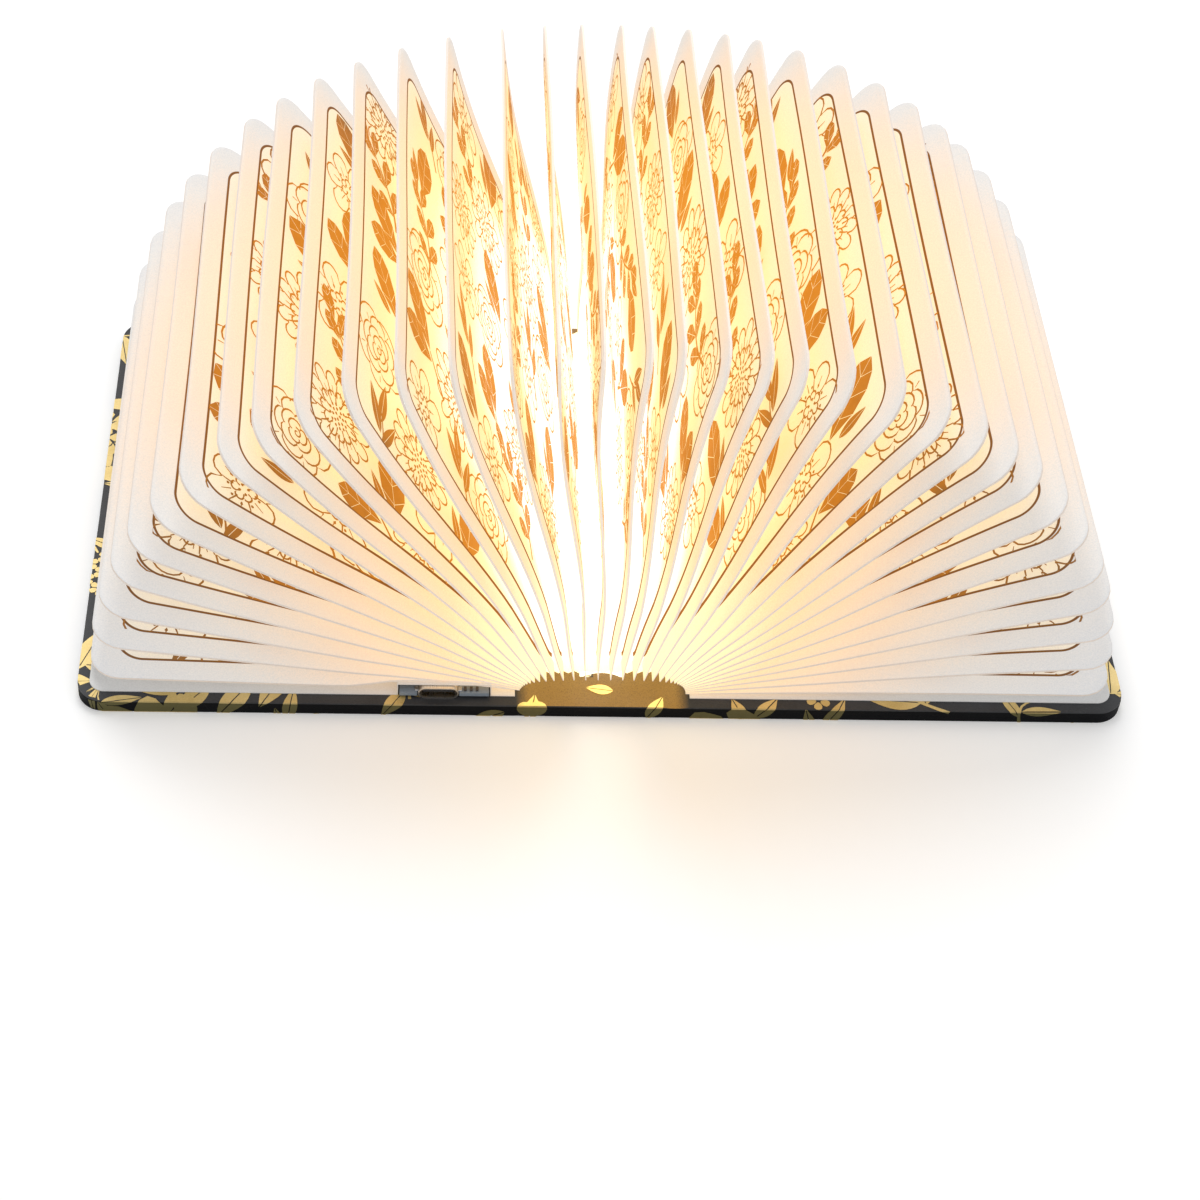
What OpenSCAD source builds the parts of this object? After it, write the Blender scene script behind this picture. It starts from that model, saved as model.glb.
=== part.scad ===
// Folding book lamp, open flat on its cover. Millimetres, +Z up.
// The origin is on the table under the middle of the spine; the spine runs along Y, its tail end towards -Y.

/* [Cover] */
// Height of the cover, along the spine
cover_h = 125; // [110:1:180]
// Width of one cover board
board_w = 95.8; // [85:0.1:140]
// Thickness of a greyboard
board_t = 2.8; // [2:0.1:4]
// Thickness of the leatherette
skin_t = 0.3; // [0.2:0.05:0.5]
// Radius of the cover's outer corners
cover_r = 6; // [2:0.5:12]
// Width of the leatherette turned in over the boards
turn_in = 15; // [8:1:25]

/* [Spine] */
// Width of the spine, which is also the thickness of the closed lamp
spine_w = 25; // [23:0.5:34]
// Width of one flexible joint strip
joint_w = 6.7; // [4:0.1:10]

/* [Pages] */
// Number of page pockets
leaves = 34; // [20:2:34]
// Width of a page from its spine edge to its fore edge
leaf_w = 94; // [60:1:96]
// Margin of the cover around the pages at head and tail
page_inset = 3.2; // [3:0.1:9]
// Thickness of a flat pocket
leaf_t = 0.32; // [0.2:0.02:0.36]
// Space between the two sheets of a flat pocket
pocket_gap = 0.1; // [0.04:0.02:0.12]
// Width of the glued margin of a pocket
glue_w = 5; // [3:0.5:10]
// Radius of a page's outer corners
leaf_r = 7; // [3:0.5:14]
// Thickness of an endpaper
endpaper_t = 0.2; // [0.1:0.05:0.3]
// Margin of the cover around the endpapers
endpaper_inset = 2.6; // [1.5:0.1:6]

/* [Open fan] */
// Tilt of the leftmost page from upright, in degrees
tilt_angle_left = 88; // [80:0.5:89]
// Tilt of the rightmost page from upright, in degrees
tilt_angle_right = 87; // [80:0.5:89]
// Crowding of the pages in the middle of the fan, where 1 is an even fan
crowding = 1.26; // [1:0.01:1.4]
// Tilt of the middle of the fan to the right, in degrees
lean_angle = 2.9; // [0:0.1:4]
// Further tilt of the right half, in degrees
lean_angle_right = 9.8; // [0:0.1:12]
// Half the width of the arch of spine edges
arch_w = 18.3; // [14:0.1:19]
// Height of the crown of the arch above the table
arch_top = 8.3; // [7.8:0.1:9]
// Height of the foot of the arch above the table
arch_foot = 4.1; // [4:0.05:4.5]
// How strongly the spine edges gather at the feet of the arch
gather_ratio = 2.4; // [1.6:0.1:3]

/* [Closed block] */
// Height of the spine edges above the outside of the spine when closed
closed_rise = 6.3; // [6:0.1:7]
// Room between the closed block of pages and the pieces beside it
block_gap = 0.1; // [0.05:0.05:0.3]

/* [Light] */
// Distance of the LED strip's ends from the cover's head and tail edges
strip_inset = 8; // [7:0.5:20]
// Width of the LED strip
strip_w = 8; // [6:0.5:10]
// Number of LEDs
leds = 13; // [7:1:14]
// Width of the carrier channel
channel_w = 10; // [9:0.5:12]
// Height of the carrier channel
channel_t = 0.7; // [0.5:0.1:0.8]
// Height of the frosted cover
diffuser_h = 1.7; // [1.6:0.1:1.8]

/* [Control unit] */
// Distance of the inlet's middle from the middle of the spine
unit_x = 36; // [30:0.5:80]
// Width of the circuit board
pcb_w = 19.6; // [16:0.2:19.6]
// Offset of the circuit board's middle from the inlet's, towards the spine
pcb_shift = 1.3; // [0:0.1:2]
// Depth of the circuit board
pcb_d = 14; // [10:0.5:16]
// Thickness of the circuit board
pcb_t = 1; // [0.8:0.1:1.2]
// Thickness of the foam tape under the circuit board
tape_t = 0.5; // [0.3:0.1:0.7]
// Set-back of the inlet's face from the cover's edge
unit_setback = 1.8; // [1:0.1:3]
// Depth of the USB-C shell
usb_d = 7.3; // [6:0.1:8]

/* [Battery and magnet] */
// Size of the battery pouch along the cover's width
battery_w = 50; // [30:1:52]
// Size of the battery pouch along the spine
battery_h = 34; // [20:1:40]
// Thickness of the battery pouch
battery_t = 2.6; // [2:0.1:2.7]
// Distance of the battery's middle from the middle of the spine
battery_x = 62; // [55:1:75]
// Diameter of the magnet that switches the lamp
magnet_d = 8; // [4:0.5:10]
// Thickness of the magnet
magnet_t = 1.8; // [1:0.1:2]

/* [Hidden] */
$fn = 48;
clear = 0.15;
case_t = board_t + 2 * skin_t;
fold_x = spine_w / 2;
board_x = fold_x + joint_w;
edge_x = board_x + board_w;
page_h = cover_h - 2 * page_inset;
page_top = case_t + endpaper_t;

// USB-C receptacle: outer width and height of the shell, its wall and the tongue
usb_w = 8.94;
usb_h = 3.26;
usb_wall = 0.3;
tongue_w = 6.7;
tongue_t = 0.7;
usb_front = -cover_h / 2 + unit_setback;
pcb_x = -unit_x + pcb_shift;
pcb_y = usb_front + 0.3;
pcb_z = case_t + tape_t;
unit_back = pcb_y + pcb_d;

// Sensor on the circuit board; the magnet is over it when the lamp is closed
sensor_w = 2.9;
sensor_d = 1.6;
sensor_side = 6;
sensor_inset = 3.2;
sensor_x = pcb_x - sensor_side;
sensor_y = unit_back - sensor_inset;

// Foam tape under the circuit board
tape_w = 2.8;
tape_l = 6.8;

// Hump of the endpaper over the control unit, its sloping back, and the relief of the first pages
hump_w = pcb_w + 4 * clear;
hump_top = case_t + usb_h + clear + endpaper_t;
hump_slope = 1;
notch_w = hump_w + 2 * endpaper_t + 10 * clear;
notch_d = unit_back + hump_slope + 1 + page_h / 2;

// Flat lead to the LED strip and the two round leads of the battery
ribbon_w = 3;
ribbon_t = 0.4;
ribbon_z = case_t - skin_t - ribbon_t;
ribbon_inset = 6;
ribbon_y = unit_back - ribbon_inset;
ribbon_start = pcb_x + pcb_w / 2 - 2;
ribbon_end = -2.2;
lead_t = 0.6;
lead_pitch = 1.3;
lead_inset = 4;
lead_x = -battery_x + battery_w / 2 - lead_inset;
lead_y = unit_back - 2.6;
lead_z = ribbon_z - 0.2;
battery_gap = 0.4;

// LED strip, flush in its channel, and one LED
strip_l = cover_h - 2 * strip_inset;
floor_t = 0.3;
strip_t = channel_t - floor_t;
strip_z = case_t + floor_t;
led_w = 3.5;
led_d = 2.8;
led_t = 0.7;
led_lens_d = 2.2;
led_margin = 4;
led_pitch = (strip_l - 2 * led_margin) / (leds - 1);

function two(n) = n < 10 ? str("0", n) : str(n);
function leaf_name(i) = str("leaf_", two(i));

// Place of a page in the fan, from -1 at the left end to 1 at the right end
function place(i) = (2 * i - leaves - 1) / (leaves - 1);

// Tilt of a page from upright in the open fan
function tilt(i) = let (u = place(i))
    (u < 0 ? -tilt_angle_left : tilt_angle_right) * pow(abs(u), crowding)
    + (lean_angle + lean_angle_right * u) * (1 - u * u);

// Spine edge of a page in the open fan, as [x, z]
function open_root(i) = let (u = place(i), v = gather_ratio * (u + 0.065 * (1 - u * u)))
    [arch_w * tanh(v) / tanh(gather_ratio), arch_foot + (arch_top - arch_foot) * (1 - u * u)];

function tanh(v) = let (a = exp(v), b = exp(-v)) (a - b) / (a + b);

// Spine edge of a page in the closed block, which stands between the hump and the right endpaper
block_left = -fold_x + hump_top + block_gap + leaf_t / 2;
block_right = fold_x - page_top - block_gap - leaf_t / 2;
function closed_root(i) =
    [block_left + (block_right - block_left) * (i - 1) / (leaves - 1), closed_rise];

// Centre, as [x, z], of the one turn that takes a page from its open to its closed place
function fold_centre(i) = let (a = open_root(i), b = closed_root(i), h = tan(90 - tilt(i) / 2) / 2)
    (a + b) / 2 + h * [a[1] - b[1], b[0] - a[0]];
fold_centres = [for (i = [1:leaves]) fold_centre(i)];

// Point on the middle plane of a page in the open fan, at a distance from its spine edge
function on_leaf(i, along) = open_root(i) + along * [sin(tilt(i)), cos(tilt(i))];

// Outline of a panel from x = 0 outwards, with its two outer corners rounded
module panel_outline(w, h, r) {
    translate([0, -h / 2]) square([w - r, h]);
    translate([0, -h / 2 + r]) square([w, h - 2 * r]);
    for (s = [-1, 1]) translate([w - r, s * (h / 2 - r)]) circle(r);
}

module panel(x, z, w, h, r, t) {
    translate([x, 0, z]) linear_extrude(t) panel_outline(w, h, r);
}

module block(x0, x1, y0, y1, z0, z1) {
    translate([x0, y0, z0]) cube([x1 - x0, y1 - y0, z1 - z0]);
}

// Space of the board inside its leatherette
module board_blank() {
    panel(board_x, skin_t, board_w - skin_t, cover_h - 2 * skin_t, cover_r - skin_t, board_t);
}

// Leatherette round one board: outer face, edges and turned-in margins
module wrap_blank() {
    difference() {
        panel(board_x, 0, board_w, cover_h, cover_r, case_t);
        board_blank();
        block(board_x - 1, edge_x - turn_in, -cover_h / 2 + turn_in, cover_h / 2 - turn_in,
              case_t - skin_t - 0.01, case_t + 1);
    }
}

// The magnet's place in the right board
module magnet(grow) {
    translate([-sensor_x, sensor_y, case_t - skin_t - magnet_t - clear / 2 - grow])
        cylinder(h = magnet_t + 2 * grow, d = magnet_d + 2 * grow);
}

// Slot for the flat lead between two places across the cover
module ribbon_slot(x0, x1, z0, z1) {
    block(x0, x1, ribbon_y - ribbon_w / 2 - clear, ribbon_y + ribbon_w / 2 + clear, z0, z1);
}

// Where the flat lead comes up through the spine's lining and the channel
module ribbon_window() {
    ribbon_slot(ribbon_end - 1.2, ribbon_end + 0.4, ribbon_z, case_t + channel_t);
}

module cover_board_left() {
    color("tan") difference() {
        mirror([1, 0, 0]) board_blank();
        // Window for the battery, channels for its leads and for the flat lead
        block(-battery_x - battery_w / 2 - battery_gap, -battery_x + battery_w / 2 + battery_gap,
              -battery_h / 2 - battery_gap, battery_h / 2 + battery_gap, 0, case_t);
        block(lead_x - lead_pitch - clear, lead_x + lead_pitch + clear, lead_y - 2 * clear,
              -battery_h / 2, lead_z - clear, case_t);
        ribbon_slot(ribbon_start - clear, 0, ribbon_z - clear, case_t);
    }
}

module cover_board_right() {
    color("tan") difference() {
        board_blank();
        magnet(clear);
    }
}

module cover_wrap_left() {
    color("#26262b") difference() {
        mirror([1, 0, 0]) wrap_blank();
        // The turned-in margin is cut away where the leads come up
        block(lead_x - lead_pitch - clear, 0, ribbon_y - ribbon_w / 2 - clear,
              unit_back, case_t - skin_t - 0.01, case_t + 1);
    }
}

module cover_wrap_right() {
    color("#26262b") wrap_blank();
}

module spine_board() {
    color("tan") difference() {
        block(-fold_x, fold_x, -cover_h / 2 + skin_t, cover_h / 2 - skin_t, skin_t, skin_t + board_t);
        ribbon_slot(-fold_x - 1, ribbon_end + 0.4, ribbon_z - clear, case_t);
    }
}

module cover_wrap_spine() {
    color("#26262b") difference() {
        block(-fold_x, fold_x, -cover_h / 2, cover_h / 2, 0, case_t);
        block(-fold_x - 1, fold_x + 1, -cover_h / 2 + skin_t, cover_h / 2 - skin_t, skin_t, case_t - skin_t);
        block(-fold_x - 1, fold_x + 1, -cover_h / 2 + turn_in, cover_h / 2 - turn_in,
              case_t - skin_t - 0.01, case_t + 1);
        ribbon_window();
    }
}

module spine_lining() {
    color("#8a6420") difference() {
        block(-fold_x, fold_x, -cover_h / 2 + turn_in, cover_h / 2 - turn_in, case_t - skin_t, case_t);
        ribbon_window();
    }
}

// Flexible strip of the joint, flush with the spine and the board
module hinge_strip() {
    block(fold_x, board_x, -cover_h / 2, cover_h / 2, 0.05, case_t);
}

module hinge_strip_left() {
    color("#26262b") difference() {
        mirror([1, 0, 0]) hinge_strip();
        ribbon_slot(-board_x - 1, 0, ribbon_z - clear, ribbon_z + ribbon_t + clear);
    }
}

module hinge_strip_right() {
    color("#26262b") hinge_strip();
}

// Endpaper, thickened inside the turned-in margins so that it lies on the board
module endpaper_blank() {
    panel(board_x, case_t, board_w - endpaper_inset, cover_h - 2 * endpaper_inset,
          cover_r - endpaper_inset, endpaper_t);
    block(board_x, edge_x - turn_in, -cover_h / 2 + turn_in, cover_h / 2 - turn_in, case_t - skin_t, case_t);
}

// Hump over the control unit, grown by a wall: its profile along the spine slopes down at the back
module hump(wall) {
    front = -cover_h / 2 + endpaper_inset - 1;
    back = unit_back + wall;
    top = hump_top - endpaper_t + wall;
    translate([pcb_x - hump_w / 2 - wall, 0, 0]) rotate([90, 0, 90]) linear_extrude(hump_w + 2 * wall)
        polygon([[front, case_t - 1], [back + hump_slope, case_t - 1], [back + hump_slope, case_t + wall],
                 [back, top], [front, top]]);
}

module endpaper_left() {
    color("whitesmoke") difference() {
        union() {
            mirror([1, 0, 0]) endpaper_blank();
            intersection() {
                hump(endpaper_t);
                block(-edge_x, 0, -cover_h / 2 + endpaper_inset, cover_h / 2, case_t, hump_top);
            }
        }
        hump(0);
    }
}

module endpaper_right() {
    color("whitesmoke") endpaper_blank();
}

// One pocket: two sheets joined at head, tail and fore edge, open towards the spine.
// The first pages on the left are relieved over the control unit.
module leaf(i) {
    r = open_root(i);
    color("ivory") translate([r[0], 0, r[1]]) rotate([0, tilt(i) - 90, 0]) difference() {
        translate([0, 0, -leaf_t / 2]) linear_extrude(leaf_t) panel_outline(leaf_w, page_h, leaf_r);
        translate([-1, 0, -pocket_gap / 2]) linear_extrude(pocket_gap)
            panel_outline(leaf_w + 1 - glue_w, page_h - 2 * glue_w, leaf_r - 2);
        if (needs_notch(i)) translate([r[0] - pcb_x - notch_w / 2, -page_h / 2 - 1, -1])
            cube([notch_w, notch_d + 1, 2]);
    }
}

// A page needs the notch where its plane passes under the top of the hump
function needs_notch(i) = let (a = tilt(i), r = open_root(i), reach = r[0] - pcb_x - hump_w / 2)
    a < -45 && r[1] + (reach - 1) / tan(-a) < hump_top + leaf_t;

// Pleated strip under the spine edges: it bridges each pair of pages and dips between them,
// and its two feet lie on the endpapers.
fold_t = 0.1;
fold_gap = 0.2;
fold_foot = 2;
function fold_under(i) = on_leaf(i, -fold_gap);
function fold_dip(i) = let (a = fold_under(i), b = fold_under(i + 1))
    (a + b) / 2 - [0, min(0.9, 0.35 * norm(b - a))];
fold_ends = [fold_under(1), fold_under(leaves)];
fold_line = concat(
    [[-board_x - fold_foot, page_top + fold_t], [fold_ends[0][0], page_top + fold_t]],
    [for (i = [1:leaves - 1]) each [fold_under(i), fold_dip(i)]],
    [fold_ends[1], [fold_ends[1][0], page_top + fold_t], [board_x + fold_foot, page_top + fold_t]]);

// The strip's thickness lies below it, and inwards where it rises from a foot
function fold_side(k) = k == 0 || k == len(fold_line) - 1 ? [0, fold_t]
    : k == 1 || k == 2 ? [-fold_t, fold_t]
    : k == len(fold_line) - 2 || k == len(fold_line) - 3 ? [fold_t, fold_t] : [0, fold_t];

module valley_folds() {
    color("ivory") translate([0, page_h / 2, 0]) rotate([90, 0, 0]) linear_extrude(page_h)
        polygon(concat(fold_line, [for (k = [len(fold_line) - 1:-1:0]) fold_line[k] - fold_side(k)]));
}

module led_channel() {
    color("silver") difference() {
        block(-channel_w / 2, channel_w / 2, -strip_l / 2 - 1, strip_l / 2 + 1, case_t, case_t + channel_t);
        block(-strip_w / 2 - clear, strip_w / 2 + clear, -strip_l / 2 - clear, strip_l / 2 + clear,
              strip_z, case_t + channel_t + 1);
        ribbon_window();
    }
}

module led_board() {
    color("white") block(-strip_w / 2, strip_w / 2, -strip_l / 2, strip_l / 2, strip_z, strip_z + strip_t);
}

module led_chips() {
    color("lemonchiffon") for (k = [0:leds - 1])
        translate([0, -strip_l / 2 + led_margin + k * led_pitch, strip_z + strip_t]) difference() {
            translate([-led_w / 2, -led_d / 2, 0]) cube([led_w, led_d, led_t]);
            translate([0, 0, led_t - 0.2]) cylinder(h = 1, d = led_lens_d);
        }
}

// Frosted cover: a low vault over the LEDs that stands on the channel's flanges
module led_diffuser() {
    w = channel_w - 0.4;
    wall = 0.4;
    radius = (w * w / 4 + diffuser_h * diffuser_h) / (2 * diffuser_h);
    color("white") translate([0, strip_l / 2, case_t + channel_t]) rotate([90, 0, 0]) linear_extrude(strip_l)
        translate([0, diffuser_h - radius]) difference() {
            intersection() {
                circle(radius, $fn = 96);
                translate([-w, radius - diffuser_h]) square([2 * w, diffuser_h + 1]);
            }
            circle(radius - wall, $fn = 96);
        }
}

// Flat lead: along the top of the board from under the circuit board to the LED strip
module led_ribbon() {
    y0 = ribbon_y - ribbon_w / 2;
    y1 = ribbon_y + ribbon_w / 2;
    color("darkorange") {
        block(ribbon_start, ribbon_end, y0, y1, ribbon_z, ribbon_z + ribbon_t);
        block(ribbon_start, ribbon_start + ribbon_t, y0, y1, ribbon_z, pcb_z);
        block(ribbon_end - ribbon_t, ribbon_end, y0, y1, ribbon_z, strip_z);
    }
}

module main_board() {
    color("#e8ecef") difference() {
        block(pcb_x - pcb_w / 2, pcb_x + pcb_w / 2, pcb_y, unit_back, pcb_z, pcb_z + pcb_t);
        block(-unit_x - usb_w / 2 - clear, -unit_x + usb_w / 2 + clear, pcb_y - 1, usb_front + usb_d + clear,
              pcb_z - 1, pcb_z + 2);
    }
}

// Foam tape that holds the circuit board, in two strips beside the inlet
module board_tape() {
    gap = 0.6;
    color("dimgray") for (s = [-1, 1])
        translate([-unit_x + s * (usb_w / 2 + gap + tape_w / 2) - tape_w / 2, pcb_y + gap, case_t])
            cube([tape_w, tape_l, tape_t]);
}

// Charger chip and coil behind the inlet, and a row of capacitors on each side of it
module board_chips() {
    z = pcb_z + pcb_t;
    back = usb_front + usb_d + 1.2;
    chip = [4, 3.8, 1];
    coil = [2.4, 2.4, 1.1];
    cap = [0.6, 1, 0.5];
    cap_pitch = 1.3;
    color("#202020") {
        translate([-unit_x - 3, back, z]) cube(chip);
        translate([-unit_x + 3, back, z]) cube(coil);
    }
    color("tan") for (k = [0:2]) {
        translate([-unit_x + 5.6 + k * cap_pitch, pcb_y + 0.5, z]) cube(cap);
        translate([-unit_x - 8 + k * cap_pitch, pcb_y + 2.5, z]) cube(cap);
    }
}

module hall_sensor() {
    color("#303030") translate([sensor_x - sensor_w / 2, sensor_y - sensor_d / 2, pcb_z + pcb_t])
        cube([sensor_w, sensor_d, 1]);
}

// Racetrack profile of the inlet, lying in the XZ plane
module usb_profile(w, h) {
    square([w - h, h], center = true);
    for (s = [-1, 1]) translate([s * (w - h) / 2, 0]) circle(d = h);
}

module usb_shell() {
    color("silver") translate([-unit_x, usb_front, case_t + usb_h / 2]) rotate([-90, 0, 0]) difference() {
        linear_extrude(usb_d) usb_profile(usb_w, usb_h);
        translate([0, 0, -1]) linear_extrude(usb_d) usb_profile(usb_w - 2 * usb_wall, usb_h - 2 * usb_wall);
    }
}

module usb_tongue() {
    color("#151515") translate([-unit_x - tongue_w / 2, usb_front + 0.8, case_t + usb_h / 2 - tongue_t / 2])
        cube([tongue_w, usb_d - 1.8, tongue_t]);
}

// Pouch cell with rounded long sides
module battery_pouch() {
    r = battery_t / 2;
    color("silver") translate([-battery_x, battery_h / 2, skin_t + 0.1 + r]) rotate([90, 0, 0])
        linear_extrude(battery_h) {
            square([battery_w - battery_t, battery_t], center = true);
            for (s = [-1, 1]) translate([s * (battery_w / 2 - r), 0]) circle(r);
        }
}

module battery_leads() {
    color("firebrick") for (s = [-1, 1])
        translate([lead_x + s * lead_pitch / 2 - lead_t / 2, lead_y, lead_z]) {
        cube([lead_t, -battery_h / 2 - lead_t / 2 - lead_y, lead_t]);
        cube([lead_t, lead_t, pcb_z - lead_z]);
    }
}

module switch_magnet() {
    color("silver") magnet(0);
}

cover_board_left();
cover_board_right();
cover_wrap_left();
cover_wrap_right();
spine_board();
cover_wrap_spine();
spine_lining();
hinge_strip_left();
hinge_strip_right();
endpaper_left();
endpaper_right();
valley_folds();
led_channel();
led_board();
led_chips();
led_diffuser();
led_ribbon();
main_board();
board_tape();
board_chips();
hall_sensor();
usb_shell();
usb_tongue();
battery_pouch();
battery_leads();
switch_magnet();
for (i = [1:leaves]) leaf(i);
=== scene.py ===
"""Folding book lamp, open and lit: a fan of page pockets on a book cover, with a light strip along the spine."""
import logging
import math
from dataclasses import dataclass, field
from enum import Enum
from typing import Callable, Sequence

import bpy
import numpy as np
from mathutils import Matrix, Vector


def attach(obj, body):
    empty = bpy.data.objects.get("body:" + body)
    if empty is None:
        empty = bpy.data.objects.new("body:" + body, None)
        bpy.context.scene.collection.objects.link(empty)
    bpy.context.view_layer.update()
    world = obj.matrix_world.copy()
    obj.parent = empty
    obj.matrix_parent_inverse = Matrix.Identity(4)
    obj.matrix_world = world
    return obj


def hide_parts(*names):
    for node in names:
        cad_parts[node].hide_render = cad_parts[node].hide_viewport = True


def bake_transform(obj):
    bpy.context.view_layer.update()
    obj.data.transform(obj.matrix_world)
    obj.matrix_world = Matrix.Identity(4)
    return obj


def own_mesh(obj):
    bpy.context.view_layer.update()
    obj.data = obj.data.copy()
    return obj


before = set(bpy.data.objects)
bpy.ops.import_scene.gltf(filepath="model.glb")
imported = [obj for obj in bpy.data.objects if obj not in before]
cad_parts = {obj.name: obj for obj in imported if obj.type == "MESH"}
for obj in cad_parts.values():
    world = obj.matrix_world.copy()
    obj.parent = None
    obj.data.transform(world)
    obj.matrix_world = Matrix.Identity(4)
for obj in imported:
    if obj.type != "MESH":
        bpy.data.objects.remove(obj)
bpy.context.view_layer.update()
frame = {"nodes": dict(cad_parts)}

MM = 0.001
log = logging.getLogger("book_lamp")

Colour = tuple[float, float, float]
BLACK: Colour = (0.0, 0.0, 0.0)
WHITE: Colour = (1.0, 1.0, 1.0)
# Upright edge faces of the case, which get painted shade: their lowest and highest place, and how far out they are
# along X and along Y
CASE_SHADED_FLANK = (0.1, 3.0, 105.0, 62.45)
# Top of the case: its height, the width over which the light on it fades, and the least upward part of its normal
CASE_TOP = (3.02, 3.0, 0.6)


def tint(red: int, green: int, blue: int) -> Colour:
    """Turn a screen colour into the linear colour that a shader takes.

    Args:
        red: Red from 0 to 255.
        green: Green from 0 to 255.
        blue: Blue from 0 to 255.

    Returns:
        The three linear values.
    """
    def linear(c: int) -> float:
        """Linear value of one channel."""
        v = c / 255
        return v / 12.92 if v <= 0.04045 else ((v + 0.055) / 1.055) ** 2.4
    return (linear(red), linear(green), linear(blue))


# ---------------------------------------------------------------- finishes


class Graph:
    """A node tree that is laid out step by step."""

    def __init__(self, tree: bpy.types.NodeTree) -> None:
        """Start with an empty tree.

        Args:
            tree: The node tree of a material or a world.
        """
        self.tree = tree
        tree.nodes.clear()

    def node(self, kind: str, settings: dict | None = None, inputs: dict | None = None) -> bpy.types.Node:
        """Add a node.

        Args:
            kind: Blender's name of the node type.
            settings: Properties of the node to set.
            inputs: Input sockets by name or number, each with a value or a socket to link.

        Returns:
            The new node.
        """
        made = self.tree.nodes.new(kind)
        for key, value in (settings or {}).items():
            setattr(made, key, value)
        for key, value in (inputs or {}).items():
            if isinstance(value, bpy.types.NodeSocket):
                self.join(value, made.inputs[key])
            else:
                made.inputs[key].default_value = value
        return made

    def join(self, source: bpy.types.NodeSocket, target: bpy.types.NodeSocket) -> None:
        """Link an output to an input."""
        self.tree.links.new(source, target)

    def math(self, operation: str, *values: object, clamp: bool = False) -> bpy.types.NodeSocket:
        """One step of arithmetic.

        Args:
            operation: Blender's name of the operation.
            *values: One to three numbers or sockets.
            clamp: Whether the result is held between 0 and 1.

        Returns:
            The result socket.
        """
        settings = {"operation": operation, "use_clamp": clamp}
        return self.node("ShaderNodeMath", settings, dict(enumerate(values))).outputs[0]


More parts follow.
